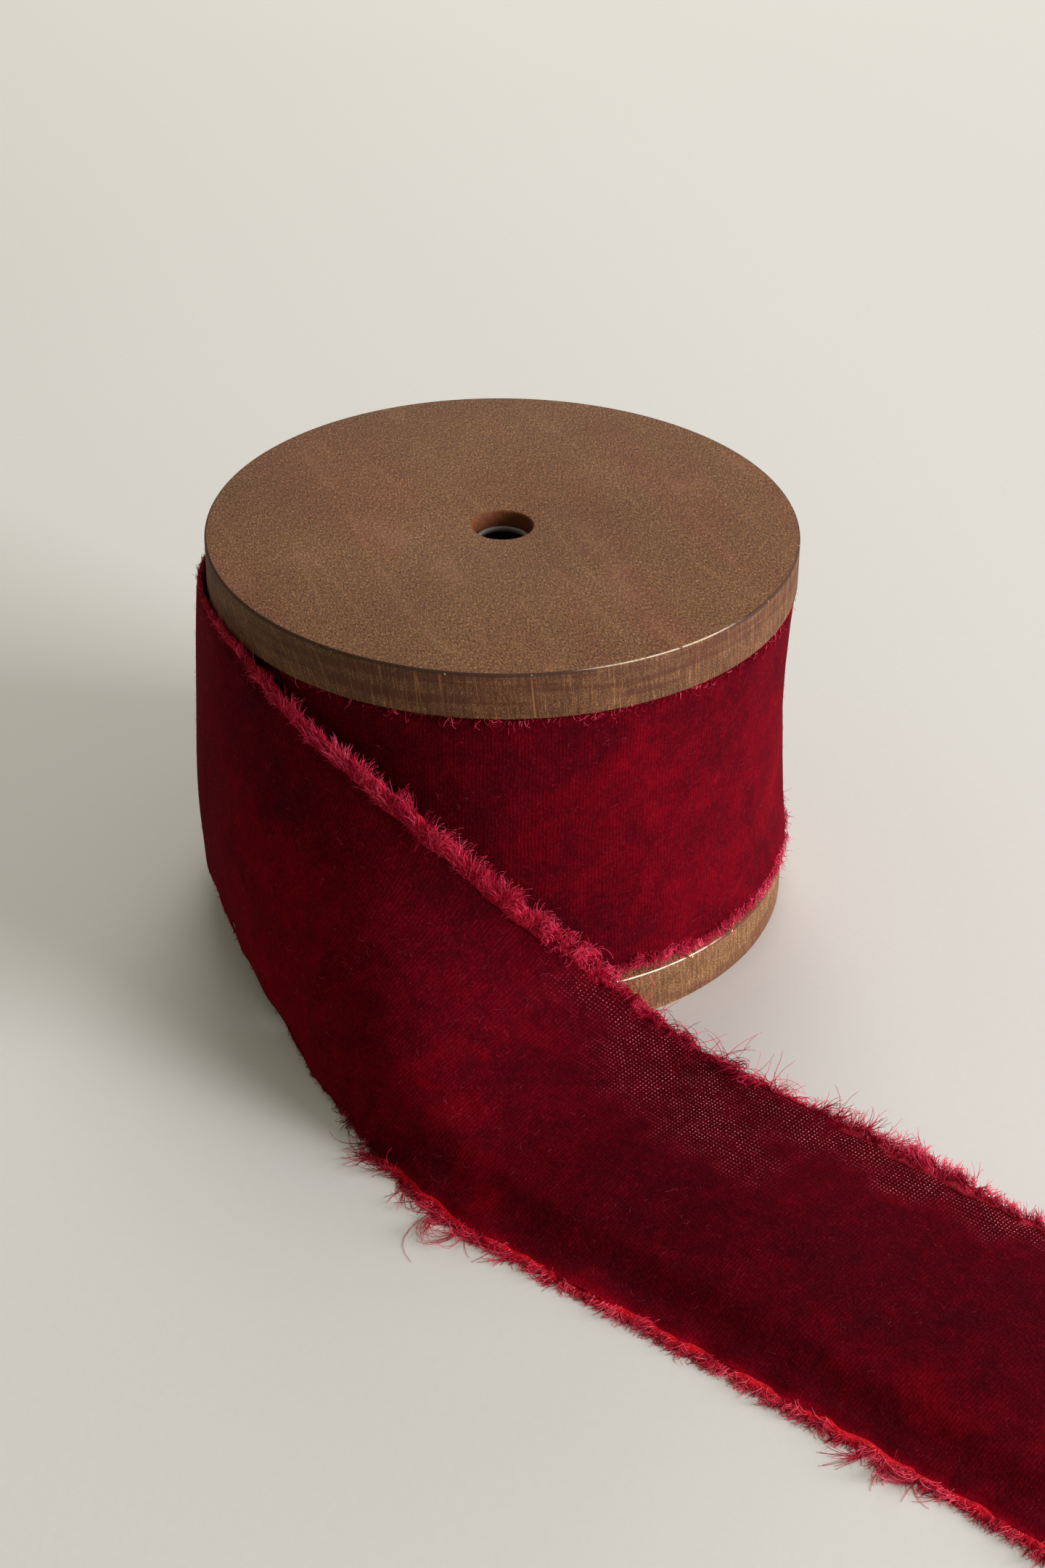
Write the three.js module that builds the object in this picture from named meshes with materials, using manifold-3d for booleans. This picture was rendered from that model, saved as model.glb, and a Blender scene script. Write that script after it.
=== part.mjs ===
// Roll of velvet ribbon on a wooden spool, with its loose end laid out on the surface.
// Millimetres, +Z up. The spool stands on its lower disc. While it is being built the spool's
// axis is x = 0, y = 0; the last lines move the origin to the bottom centre of the whole.
import * as THREE from 'three';
import { mergeVertices } from 'three/addons/utils/BufferGeometryUtils.js';
import Module from 'manifold-3d';

const wasm = await Module();
wasm.setup();

// Spool
const DISC_RADIUS = 38.1;
const DISC_THICKNESS = 6.3;
const DISC_EDGE_ROUND = 0.5;
const SPOOL_HEIGHT = 53.05;
const BORE_RADIUS = 3.9;
const BORE_SIDES = 24;
const DISC_SIDES = 64;
const CORE_RADIUS = 3.6;
const CORE_WALL = 0.5;
const CORE_RECESS = 2;

// Wound ribbon. The outermost layer leaves the roll at LEAVE_ANGLE, counted from +X.
const CLEAR = 0.3;
const ROLL_STEPS = 72;
const LEAVE_ANGLE = 95;
const STEP_ANGLE = 5;
const ROLL_RADIUS_LOW = 36.4;
const ROLL_RADIUS_HIGH = 37.75;
const FLARE_FACING = -15;
const SAG_DEPTH = 0.12;

// How far the pile stands out at each height of the roll, most on the side the flare faces
const ROLL_PROFILE = [
  { height: 6.6, flare: 0.8, dip: 0.3 },
  { height: 8.6, flare: 1.3, dip: 0.0 },
  { height: 11, flare: 0.9, dip: 0.0 },
  { height: 14, flare: 0.5, dip: 0.0 },
  { height: 19, flare: 0.2, dip: 0.1 },
  { height: 27, flare: 0.0, dip: 0.15 },
  { height: 36, flare: 0.0, dip: 0.1 },
  { height: 43, flare: 0.1, dip: 0.0 },
  { height: 46.45, flare: 0.2, dip: 0.2 },
];

// Loose ribbon
const CLOTH_THICKNESS = 1.1;
const ROW_STEPS = 4;
const WIDTH_STEPS = 11;

// Sections of the loose ribbon from the roll to its cut end. low and high are the middle of the
// cloth at its lower and upper edge; belly and neck push the lower and upper third of the
// section outwards from a straight line.
const SECTIONS = [
  { low: [-8.4, 36.3, 7.2], high: [-8.4, 36.3, 45.7], belly: 0, neck: 0 },
  { low: [-21.8, 31, 7.2], high: [-21.7, 30.9, 45.7], belly: 0, neck: 0 },
  { low: [-33.3, 19.6, 7.3], high: [-33.1, 19.4, 45.8], belly: 0.4, neck: 0.4 },
  { low: [-39.2, 5.5, 7.2], high: [-38.8, 2.7, 45.6], belly: 0.8, neck: 0.4 },
  { low: [-39.4, -6, 6.5], high: [-37.7, -9.6, 45], belly: 1.5, neck: 0.6 },
  { low: [-37, -16.5, 5.5], high: [-32, -22.2, 44], belly: 2.5, neck: 0.8 },
  { low: [-32.5, -26.5, 3.5], high: [-23.5, -31.8, 40.5], belly: 3.5, neck: 1 },
  { low: [-27.5, -36.5, 1.4], high: [-14.5, -37.2, 34.5], belly: 6, neck: -0.5 },
  { low: [-23, -47, 0.55], high: [-5, -40, 26.5], belly: 9, neck: -3.5 },
  { low: [-17.5, -57, 0.55], high: [4.5, -41, 17.8], belly: 11, neck: -5 },
  { low: [-11.5, -66.5, 0.55], high: [13, -41.5, 10.5], belly: 8, neck: -4 },
  { low: [-4, -75.5, 0.55], high: [22, -45, 5.2], belly: 4, neck: 0 },
  { low: [6, -83.5, 0.55], high: [31.5, -53.5, 4.2], belly: 3.2, neck: 0.8 },
  { low: [18, -93, 0.55], high: [43.5, -63.5, 3.8], belly: 3, neck: 0.8 },
  { low: [35, -107, 0.55], high: [60.5, -77.5, 3], belly: 2.6, neck: 0.8 },
  { low: [63, -131, 0.55], high: [88.5, -101.5, 1.6], belly: 2, neck: 0.6 },
];

// Frayed edges: short thin strips beside the cloth with tapering locks of thread on them. Each
// runs between two section numbers, so that none bends far.
const FRAY_STRIPS = [
  { name: 'side', from: 3, to: 6 },
  { name: 'fall', from: 6, to: 9 },
  { name: 'turn', from: 9, to: 11 },
  { name: 'flat', from: 11, to: 15 },
];
const FRAY_STRIP_PARTING = 0.03;
const FRAY_STRIP_WIDTH = 0.9;
const FRAY_STRIP_THICKNESS = 0.8;
const FRAY_PITCH = 1.7;
const LOCK_HALF_WIDTH = 0.5;
const LOCK_LENGTH = 1.1;
const LOCK_LENGTH_EXTRA = 1.7;
const LOCK_LEAN = 0.9;
const LOCK_FROM_STRIP_END = 1.7;

const WOOD = new THREE.MeshStandardMaterial({ color: 0x7d5c44, roughness: 0.6, metalness: 0 });
const BOARD = new THREE.MeshStandardMaterial({ color: 0x9b938c, roughness: 0.9, metalness: 0 });
const VELVET = new THREE.MeshStandardMaterial({ color: 0x5e0512, roughness: 0.9, metalness: 0 });
const FRAY = new THREE.MeshStandardMaterial({ color: 0xb3213f, roughness: 0.9, metalness: 0 });

// Same pseudo-random number between 0 and 1 for the same two whole numbers
function scatter(index, stream) {
  const wave = Math.sin(index * 127.1 + stream * 311.7) * 43758.5453;
  return wave - Math.floor(wave);
}

// A closed body through rings of equal length. Its ends are closed across each ring, from its
// first point to its last, its second to its last but one, and so on.
function loft(rings, ringsMeet) {
  const count = rings[0].length;
  const positions = rings.flat().flatMap((point) => [point.x, point.y, point.z]);
  const faces = [];
  const gaps = ringsMeet ? rings.length : rings.length - 1;
  for (let ring = 0; ring < gaps; ring += 1) {
    const here = ring * count;
    const there = ((ring + 1) % rings.length) * count;
    for (let k = 0; k < count; k += 1) {
      const next = (k + 1) % count;
      faces.push(here + k, there + k, there + next);
      faces.push(here + k, there + next, here + next);
    }
  }
  if (!ringsMeet) {
    const last = (rings.length - 1) * count;
    for (let k = 0; k < count / 2 - 1; k += 1) {
      const far = count - 1 - k;
      faces.push(k, k + 1, far - 1, k, far - 1, far);
      faces.push(last + k, last + far, last + far - 1, last + k, last + far - 1, last + k + 1);
    }
  }
  const geometry = new THREE.BufferGeometry();
  geometry.setAttribute('position', new THREE.Float32BufferAttribute(positions, 3));
  geometry.setIndex(faces);
  return geometry;
}

function solidOf(geometry) {
  const bare = geometry.clone();
  bare.deleteAttribute('normal');
  bare.deleteAttribute('uv');
  const merged = mergeVertices(bare, 1e-5);
  return new wasm.Manifold(new wasm.Mesh({
    numProp: 3,
    vertProperties: new Float32Array(merged.attributes.position.array),
    triVerts: new Uint32Array(merged.index.array),
  }));
}

function geometryOf(solid) {
  const mesh = solid.getMesh();
  const geometry = new THREE.BufferGeometry();
  geometry.setAttribute('position', new THREE.BufferAttribute(mesh.vertProperties, 3));
  geometry.setIndex(new THREE.BufferAttribute(mesh.triVerts, 1));
  return geometry;
}

function latheRing(profile, sides) {
  const points = profile.map(([radius, height]) => new THREE.Vector2(radius, height));
  const lathe = new THREE.LatheGeometry([...points, points[0].clone()], sides);
  lathe.rotateX(Math.PI / 2);
  return lathe;
}

function discGeometry() {
  const rim = DISC_RADIUS;
  const round = DISC_EDGE_ROUND;
  const top = DISC_THICKNESS;
  const plate = solidOf(latheRing([
    [0, 0], [rim - round, 0], [rim, round], [rim, top - round], [rim - round, top], [0, top],
  ], DISC_SIDES));
  const drill = new THREE.CylinderGeometry(BORE_RADIUS, BORE_RADIUS, 3 * top, BORE_SIDES);
  drill.rotateX(Math.PI / 2);
  return geometryOf(plate.subtract(solidOf(drill)));
}

function coreGeometry() {
  const inner = CORE_RADIUS - CORE_WALL;
  const top = SPOOL_HEIGHT - CORE_RECESS;
  return latheRing([
    [inner, CORE_RECESS], [CORE_RADIUS, CORE_RECESS], [CORE_RADIUS, top], [inner, top],
  ], BORE_SIDES);
}

// Outer radius of the wound ribbon: a spiral of one layer's rise in a full turn
function rollRadius(angle, flare, dip) {
  const turned = THREE.MathUtils.euclideanModulo(angle - LEAVE_ANGLE - STEP_ANGLE, 360);
  const wound = Math.min(turned / (360 - STEP_ANGLE), 1);
  const steppedDown = Math.max(turned - (360 - STEP_ANGLE), 0) / STEP_ANGLE;
  const spiral = THREE.MathUtils.lerp(ROLL_RADIUS_LOW, ROLL_RADIUS_HIGH, wound - steppedDown);
  const facing = Math.max(0, Math.cos(THREE.MathUtils.degToRad(angle - FLARE_FACING)));
  const sag = SAG_DEPTH * Math.sin(THREE.MathUtils.degToRad(angle * 5));
  return spiral + flare * facing - dip + Math.min(sag * facing, 0);
}

function rollGeometry() {
  const inner = CORE_RADIUS + CLEAR;
  const lowest = ROLL_PROFILE[0].height;
  const highest = ROLL_PROFILE[ROLL_PROFILE.length - 1].height;
  const rings = [];
  for (let step = 0; step < ROLL_STEPS; step += 1) {
    const angle = (step * 360) / ROLL_STEPS;
    const turn = THREE.MathUtils.degToRad(angle);
    const at = (radius, height) => new THREE.Vector3(
      radius * Math.cos(turn), radius * Math.sin(turn), height,
    );
    const outside = ROLL_PROFILE.map(({ height, flare, dip }) => (
      at(rollRadius(angle, flare, dip), height)
    ));
    rings.push([at(inner, highest), at(inner, lowest), ...outside]);
  }
  return loft(rings, true);
}

const lowCurve = SECTIONS.map(({ low }) => new THREE.Vector3(...low));
const highCurve = SECTIONS.map(({ high }) => new THREE.Vector3(...high));
const bows = SECTIONS.map(({ belly, neck }) => new THREE.Vector3(belly, neck, 0));

// Catmull-Rom point of a list of points at a section number that may lie between two sections
function along(points, station) {
  const last = points.length - 1;
  const index = Math.min(Math.floor(station), last - 1);
  const part = station - index;
  const before = points[Math.max(index - 1, 0)];
  const after = points[Math.min(index + 2, last)];
  const blend = (axis) => {
    const a = before[axis];
    const b = points[index][axis];
    const c = points[index + 1][axis];
    const d = after[axis];
    const cubic = (3 * b - a - 3 * c + d) * part ** 3 + (2 * a - 5 * b + 4 * c - d) * part ** 2;
    return 0.5 * (cubic + (c - a) * part + 2 * b);
  };
  return new THREE.Vector3(blend('x'), blend('y'), blend('z'));
}

// One section of the loose ribbon as a cubic curve from its lower to its upper edge
function sectionCurve(station) {
  const low = along(lowCurve, station);
  const high = along(highCurve, station);
  const bow = along(bows, station);
  const nudge = 0.02;
  const last = SECTIONS.length - 1;
  const middle = (s) => along(lowCurve, s).add(along(highCurve, s)).multiplyScalar(0.5);
  const run = middle(Math.min(station + nudge, last)).sub(middle(Math.max(station - nudge, 0)));
  const across = high.clone().sub(low);
  const outward = run.clone().cross(across).normalize();
  const belly = low.clone().addScaledVector(across, 1 / 3).addScaledVector(outward, bow.x);
  const neck = low.clone().addScaledVector(across, 2 / 3).addScaledVector(outward, bow.y);
  return { curve: new THREE.CubicBezierCurve3(low, belly, neck, high), run: run.normalize() };
}

function above(point, height) {
  return new THREE.Vector3(point.x, point.y, Math.max(point.z, height));
}

function tailGeometry() {
  const half = CLOTH_THICKNESS / 2;
  const rings = [];
  const steps = (SECTIONS.length - 1) * ROW_STEPS;
  for (let step = 0; step <= steps; step += 1) {
    const { curve, run } = sectionCurve(step / ROW_STEPS);
    const outside = [];
    const inside = [];
    for (let k = 0; k <= WIDTH_STEPS; k += 1) {
      const middle = above(curve.getPoint(k / WIDTH_STEPS), half);
      const normal = run.clone().cross(curve.getTangent(k / WIDTH_STEPS)).normalize();
      outside.push(above(middle.clone().addScaledVector(normal, half), half));
      inside.push(above(middle.clone().addScaledVector(normal, -half), 0));
    }
    rings.push([...outside, ...inside.reverse()]);
  }
  return loft(rings, false);
}

// Where an edge of the loose ribbon runs: its point, the way out of the cloth, its face, and how
// far out the frayed strip starts. A strip that has to bend flat onto the surface starts farther
// out, clear of the corner of the cloth.
function edgeFrame(station, upper) {
  const { curve, run } = sectionCurve(station);
  const half = FRAY_STRIP_THICKNESS / 2;
  const point = above(curve.getPoint(upper ? 1 : 0), half);
  const tangent = curve.getTangent(upper ? 1 : 0);
  const cloth = run.clone().cross(tangent).normalize();
  const out = tangent.multiplyScalar(upper ? 1 : -1);
  const flattest = (half - point.z) / (CLEAR + FRAY_STRIP_WIDTH);
  if (out.z < flattest) {
    out.z = flattest;
    out.normalize();
  }
  const start = CLEAR + (Math.abs(out.dot(cloth)) * CLOTH_THICKNESS) / 2;
  const face = run.clone().cross(out).multiplyScalar(upper ? 1 : -1).normalize();
  return { point, out, face, run, start };
}

function frayStrip(from, to, upper) {
  const rings = [];
  const first = from + FRAY_STRIP_PARTING;
  const last = to - FRAY_STRIP_PARTING;
  const steps = (to - from) * ROW_STEPS;
  for (let step = 0; step <= steps; step += 1) {
    const station = THREE.MathUtils.lerp(first, last, step / steps);
    const { point, out, face, start } = edgeFrame(station, upper);
    const corner = (outwards, side) => above(point.clone()
      .addScaledVector(out, outwards)
      .addScaledVector(face, (side * FRAY_STRIP_THICKNESS) / 2), 0);
    const far = start + FRAY_STRIP_WIDTH;
    const ring = [corner(start, -1), corner(far, -1), corner(far, 1), corner(start, 1)];
    rings.push(upper ? ring.reverse() : ring);
  }
  return solidOf(loft(rings, false));
}

// A lock of frayed thread: three sides, a flat underside and a drawn-out tip
function lock(station, upper, index) {
  const { point, out, face, run, start } = edgeFrame(station, upper);
  const stream = upper ? 1 : 2;
  const length = LOCK_LENGTH + LOCK_LENGTH_EXTRA * scatter(index, stream) ** 2;
  const lean = LOCK_LEAN * (scatter(index, stream + 2) - 0.5) * 2;
  const half = FRAY_STRIP_THICKNESS / 2;
  const lift = upper ? 0.7 * scatter(index, stream + 4) : 0;
  const root = point.clone().addScaledVector(out, start + FRAY_STRIP_WIDTH / 2);
  const left = root.clone().addScaledVector(run, -LOCK_HALF_WIDTH).addScaledVector(face, -half);
  const right = root.clone().addScaledVector(run, LOCK_HALF_WIDTH).addScaledVector(face, -half);
  const crest = root.clone().addScaledVector(face, half * 0.9);
  const tip = root.clone()
    .addScaledVector(out, FRAY_STRIP_WIDTH / 2 + length)
    .addScaledVector(run, lean)
    .addScaledVector(face, -half + lift);
  const corners = [left, right, crest, tip].map((corner) => above(corner, 0));
  const geometry = new THREE.BufferGeometry();
  const positions = corners.flatMap((corner) => [corner.x, corner.y, corner.z]);
  geometry.setAttribute('position', new THREE.Float32BufferAttribute(positions, 3));
  const inside = corners.reduce((sum, corner) => sum.add(corner), new THREE.Vector3())
    .multiplyScalar(0.25);
  const faces = [];
  for (const [a, b, c] of [[0, 1, 2], [0, 1, 3], [1, 2, 3], [0, 2, 3]]) {
    const normal = corners[b].clone().sub(corners[a]).cross(corners[c].clone().sub(corners[a]));
    const faceOut = normal.dot(corners[a].clone().sub(inside)) > 0;
    faces.push(...(faceOut ? [a, b, c] : [a, c, b]));
  }
  geometry.setIndex(faces);
  return solidOf(geometry);
}

// A strip with its locks. The locks stand a pitch apart and keep clear of the strip's two ends.
function frayGeometry(from, to, upper) {
  let solid = frayStrip(from, to, upper);
  const edge = (station) => edgeFrame(station, upper).point;
  const stride = 0.02;
  let sinceLock = 0;
  for (let station = from; station < to - stride; station += stride) {
    sinceLock += edge(station).distanceTo(edge(station + stride));
    const index = Math.round(station / stride);
    const pitch = FRAY_PITCH * (0.75 + 0.5 * scatter(index, upper ? 7 : 8));
    const fromEnds = Math.min(
      edge(station).distanceTo(edge(from)), edge(station).distanceTo(edge(to)),
    );
    if (sinceLock > pitch && fromEnds > LOCK_FROM_STRIP_END) {
      solid = solid.add(lock(station, upper, index));
      sinceLock = 0;
    }
  }
  return geometryOf(solid);
}

const spool = new THREE.Group();

function place(name, geometry, material, height) {
  const mesh = new THREE.Mesh(geometry, material);
  mesh.name = name;
  mesh.position.z = height;
  spool.add(mesh);
  return mesh;
}

place('disc_lower', discGeometry(), WOOD, 0);
place('disc_upper', discGeometry(), WOOD, SPOOL_HEIGHT - DISC_THICKNESS);
place('core_tube', coreGeometry(), BOARD, 0);
place('ribbon_roll', rollGeometry(), VELVET, 0);
place('ribbon_tail', tailGeometry(), VELVET, 0);
for (const { name, from, to } of FRAY_STRIPS) {
  place(`fray_upper_${name}`, frayGeometry(from, to, true), FRAY, 0);
  place(`fray_lower_${name}`, frayGeometry(from, to, false), FRAY, 0);
}

// The origin is the middle of the whole part's footprint, on the surface that it stands on
const extent = new THREE.Box3().setFromObject(spool);
const footprint = extent.getCenter(new THREE.Vector3());
spool.position.set(-footprint.x, -footprint.y, 0);
spool.updateMatrixWorld(true);

const part = new THREE.Group();
part.add(spool);

export default part;
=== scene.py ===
# Roll of velvet ribbon on a wooden spool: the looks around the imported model.
import math

import bmesh
import bpy
import numpy as np
from mathutils import Matrix, Vector


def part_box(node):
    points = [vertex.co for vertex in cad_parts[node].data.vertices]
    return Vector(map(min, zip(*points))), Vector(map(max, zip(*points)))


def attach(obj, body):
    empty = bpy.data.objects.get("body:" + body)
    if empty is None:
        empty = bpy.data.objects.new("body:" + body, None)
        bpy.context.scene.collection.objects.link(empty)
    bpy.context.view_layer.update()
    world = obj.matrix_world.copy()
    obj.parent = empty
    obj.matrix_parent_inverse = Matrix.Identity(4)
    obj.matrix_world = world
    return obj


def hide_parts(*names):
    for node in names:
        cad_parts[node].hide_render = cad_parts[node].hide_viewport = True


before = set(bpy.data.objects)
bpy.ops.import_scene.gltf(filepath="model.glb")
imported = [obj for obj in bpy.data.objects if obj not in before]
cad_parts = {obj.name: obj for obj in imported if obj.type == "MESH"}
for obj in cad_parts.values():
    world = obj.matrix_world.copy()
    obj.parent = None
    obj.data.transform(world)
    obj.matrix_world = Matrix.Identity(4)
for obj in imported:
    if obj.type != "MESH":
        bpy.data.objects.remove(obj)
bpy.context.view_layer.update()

MM = 0.001
TURN = 2 * math.pi

# Places and sizes that the frame gives
UPPER_LOW, UPPER_HIGH = (Vector(corner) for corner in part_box("disc_upper"))
LOWER_LOW, LOWER_HIGH = (Vector(corner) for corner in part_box("disc_lower"))
CORE_LOW, CORE_HIGH = (Vector(corner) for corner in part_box("core_tube"))
AXIS = Vector(((UPPER_LOW.x + UPPER_HIGH.x) / 2, (UPPER_LOW.y + UPPER_HIGH.y) / 2, 0))
DISC_RADIUS = (UPPER_HIGH.x - UPPER_LOW.x) / 2
CORE_RADIUS = (CORE_HIGH.x - CORE_LOW.x) / 2

# Sizes that the frame doesn't give, in metres
BORE_RADIUS = 3.9 * MM
CORE_WALL = 0.5 * MM
DISC_EDGE_ROUND = 0.28 * MM
LEAVE_ANGLE = 95
STEP_ANGLE = 5
ROLL_RADIUS_LOW = 36.4 * MM
ROLL_RADIUS_HIGH = 37.75 * MM
FLARE_FACING = -15
CLOTH_THICKNESS = 1.0 * MM
EDGE_THICKNESS = 0.3 * MM
EDGE_TAPER = 1.6 * MM
RIBBON_WIDTH = 38.5 * MM
RIB_PITCH = 0.46 * MM
PICK_PITCH = 0.5 * MM

# The roll's outline from its lower to its upper edge, in millimetres. Columns: height above the
# table, flare of the pile on the side that the flare faces, and dip back from the round.
ROLL_PROFILE = [
    (6.7, 0.2, 1.6),
    (7.1, 0.6, 0.8),
    (7.8, 0.9, 0.2),
    (9.2, 1.1, 0.0),
    (11.5, 0.8, 0.0),
    (15.0, 0.4, 0.0),
    (20.0, 0.1, 0.05),
    (28.0, 0.0, 0.2),
    (36.0, 0.0, 0.1),
    (42.0, 0.2, 0.0),
    (45.4, 0.5, 0.0),
    (46.0, 0.3, 0.5),
    (46.4, 0.0, 1.4),
]

# Sections of the loose ribbon, in millimetres from the spool's axis. Columns: the middle of the
# cloth at its low edge and at its high edge, and how far belly and neck, its lower and its upper
# third, bow out.
SECTIONS = [
    ((-8.4, 36.3, 7.2), (-8.4, 36.3, 45.7), 0, 0),
    ((-21.8, 31, 7.2), (-21.7, 30.9, 45.7), 0, 0),
    ((-33.3, 19.6, 7.3), (-33.1, 19.4, 45.8), 0.4, 0.4),
    ((-39.2, 5.5, 7.2), (-38.6, 2.7, 46.5), 0.8, 0.4),
    ((-39.2, -6, 6.5), (-37.5, -9.5, 46.6), 1.5, 0.6),
    ((-36.6, -16.5, 5.5), (-31.8, -22.0, 45.8), 2.4, 0.8),
    ((-32.5, -26.5, 3.5), (-23.5, -31.8, 40.5), 3.5, 1),
    ((-27.5, -36.5, 1.4), (-14.5, -37.2, 34.5), 6, -0.5),
    ((-23, -47, 0.55), (-5, -40, 26.5), 9, -3.5),
    ((-17.5, -57, 0.55), (4.5, -41, 17.8), 11, -5),
    ((-11.5, -66.5, 0.55), (13, -41.5, 10.5), 8, -4),
    ((-4, -75.5, 0.55), (22, -45, 5.2), 4, 0),
    ((6, -83.5, 0.55), (31.5, -53.5, 4.2), 3.2, 0.8),
    ((18, -93, 0.55), (43.5, -63.5, 3.8), 3, 0.8),
    ((35, -107, 0.55), (60.5, -77.5, 3), 2.6, 0.8),
    ((63, -131, 0.55), (88.5, -101.5, 1.6), 2, 0.6),
]

# Before its first section the loose ribbon still lies in the roll's surface, at these angles
WOUND_ANGLES = (70, 87)
WOUND_RADII = (36.6 * MM, 37.05 * MM)
WOUND_EDGES = (7.2 * MM, 45.7 * MM)
FIRST = len(WOUND_ANGLES)
LAST = FIRST + len(SECTIONS) - 1

# Frayed edges of the loose ribbon, a row for each place along it. at is a section number, and
# band is how wide the matted threads stand off the woven edge. wool is how many lie in the mat on
# a millimetre of edge, combed at an angle from the ribbon's run. loose is how many stand out of
# it, as far as reach, leaning along the run and lifted in degrees. curl is how far threads turn,
# in radians, gather how far a tuft is drawn to a point, and shade how light it is. shade also
# paints light and shade: it is lower where an edge lies in shade and higher where threads are
# lit from behind.
FRAY_COLUMNS = "at band wool comb reach loose lean lift curl gather shade".split()
FRAY_UPPER = [
    (1.5, 0.3, 5, 145, 0.7, 5, -0.2, 5, 3.0, 0.3, 0.18),
    (3.7, 0.4, 8, 145, 0.8, 6, -0.2, 6, 2.6, 0.5, 0.22),
    (4.6, 0.8, 18, 145, 1.4, 10, -0.2, 14, 2.2, 0.7, 0.38),
    (5.6, 1.8, 38, 140, 1.6, 12, -0.3, 22, 2.4, 0.7, 0.46),
    (7.0, 2.4, 56, 135, 1.5, 12, -0.3, 28, 2.8, 0.7, 0.48),
    (8.7, 2.5, 54, 135, 1.7, 12, -0.3, 32, 3.4, 0.6, 0.52),
    (9.5, 2.1, 30, 130, 3.0, 17, -0.2, 34, 5.2, 0.1, 0.54),
    (10.2, 1.3, 22, 125, 3.2, 18, -0.2, 30, 5.2, 0.1, 0.44),
    (10.9, 0.4, 12, 110, 3.8, 22, 0.0, 16, 5.2, 0.0, 0.42),
    (11.9, 0.3, 16, 110, 4.0, 28, -0.3, 14, 3.8, 0.3, 0.42),
    (12.5, 0.5, 24, 112, 3.8, 32, -0.6, 14, 1.4, 0.9, 0.50),
    (13.1, 1.2, 32, 115, 3.6, 24, -0.6, 14, 1.2, 0.9, 0.60),
    (13.4, 2.2, 48, 125, 2.2, 17, -0.4, 24, 2.6, 0.5, 0.72),
    (13.8, 1.3, 30, 118, 2.2, 15, -0.5, 12, 2.0, 0.7, 0.64),
    (15.0, 1.0, 24, 118, 2.2, 13, -0.5, 8, 2.0, 0.6, 0.58),
]
FRAY_LOWER = [
    (1.5, 0.2, 2, 100, 0.5, 2, 0.0, 0, 2.0, 0.2, 0.20),
    (8.5, 0.2, 2, 100, 0.5, 2, 0.0, 0, 2.0, 0.2, 0.12),
    (8.9, 0.3, 8, 100, 3.6, 10, 0.2, 12, 4.4, 0.3, 0.14),
    (9.5, 0.5, 10, 100, 4.2, 18, 0.2, 4, 3.4, 0.6, 0.20),
    (10.2, 0.7, 12, 100, 4.4, 19, 0.1, 2, 2.4, 0.7, 0.30),
    (11.0, 0.9, 15, 100, 3.4, 17, 0.1, 4, 2.2, 0.6, 0.44),
    (12.2, 1.1, 18, 100, 2.6, 15, 0.1, 6, 2.2, 0.6, 0.54),
    (13.7, 1.2, 18, 100, 2.4, 15, 0.1, 6, 2.2, 0.5, 0.58),
    (14.05, 1.2, 18, 100, 2.8, 15, 0.0, 5, 2.0, 0.5, 0.58),
    (14.2, 1.2, 18, 100, 5.4, 22, 0.0, 3, 1.4, 0.9, 0.50),
    (14.32, 1.2, 18, 100, 2.8, 15, 0.0, 4, 1.8, 0.5, 0.56),
    (15.0, 1.1, 18, 100, 2.4, 14, 0.1, 5, 2.2, 0.4, 0.56),
]
# Both frays start at this section, and the upper one is grown as two pieces that part at the next
FRAY_START = 1.5
FRAY_PARTING = 9.0
# Different lump heights in a felted strip
LUMPS = 400
# Around the roll, threads are densest at this angle and thin out over so many degrees
FRAY_FACING = -70
FRAY_ROUND = 64
# Radius, in millimetres, at which a run around the roll is measured
RUN_RADIUS = 37.5

# Where the pile is brushed lighter or darker, and where light and shade are painted onto the cloth:
# some patches lighten a side that faces away from the key light, and some darken the strip inside
# the lower edge as painted shade. Columns: millimetres along the ribbon's run and across from its
# lower edge, how long and how wide the patch reaches, and how much lighter it is.
NAP_AND_LIGHT_LOOSE = [
    (128, 8, 13, 9, -0.10),
    (140, 34, 16, 7, -0.13),
    (158, 19, 13, 7, 0.17),
    (170, 23, 12, 5, 0.03),
    (180, 13, 12, 7, 0.05),
    (160, 5, 24, 6, 0.16),
    (197, 9, 11, 4, 0.14),
    (202, 5, 6, 2, 0.16),
    (222, 15, 13, 6, -0.05),
    (232, 22, 22, 9, -0.07),
    (262, 20, 20, 12, -0.05),
    (265, 8.5, 6, 4, 0.14),
    # Painted shade: these two rows darken a thin strip inside the lower edge, where it curves down to
    # the table
    (196, 3.2, 13, 1.5, -0.05),
    (218, 3.4, 12, 1.5, -0.07),
]
NAP_AND_LIGHT_WOUND = [
    (-78, 30, 14, 8, -0.04),
    # Painted light: this row lightens the roll's left side, which faces away from the key light
    (-95, 24, 12, 16, 0.25),
    (-48, 19, 20, 11, 0.10),
    (-60, 9, 14, 5, -0.08),
    (-40, 30, 9, 7, 0.06),
    (-12, 18, 16, 14, 0.12),
    (-30, 8, 11, 4, 0.08),
    (25, 22, 22, 12, 0.05),
    (-130, 20, 20, 12, 0.14),
]
# Where the pile is worn down to the weave, in the same columns
THIN_SPOTS = [
    (207, 33, 12, 7, 0.8),
    (218, 28, 10, 6, 0.7),
    (194, 36, 9, 4, 0.5),
    (233, 36.5, 14, 4, 0.8),
    (256, 37.5, 14, 3.5, 0.7),
]
THREAD_RADIUS = 0.045 * MM

# Camera, fitted to the rims of both discs in a frame of 1440 by 2160
PHOTO_HEIGHT = 2160
FOCAL_PIXELS = 4235.6
SENSOR = 36.0
CAMERA_BACK = 350.98 * MM
CAMERA_UP = 235.36 * MM
CAMERA_PITCH = math.radians(32.266)
CAMERA_YAW = math.radians(0.469)
CAMERA_ROLL = math.radians(0.552)


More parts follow.
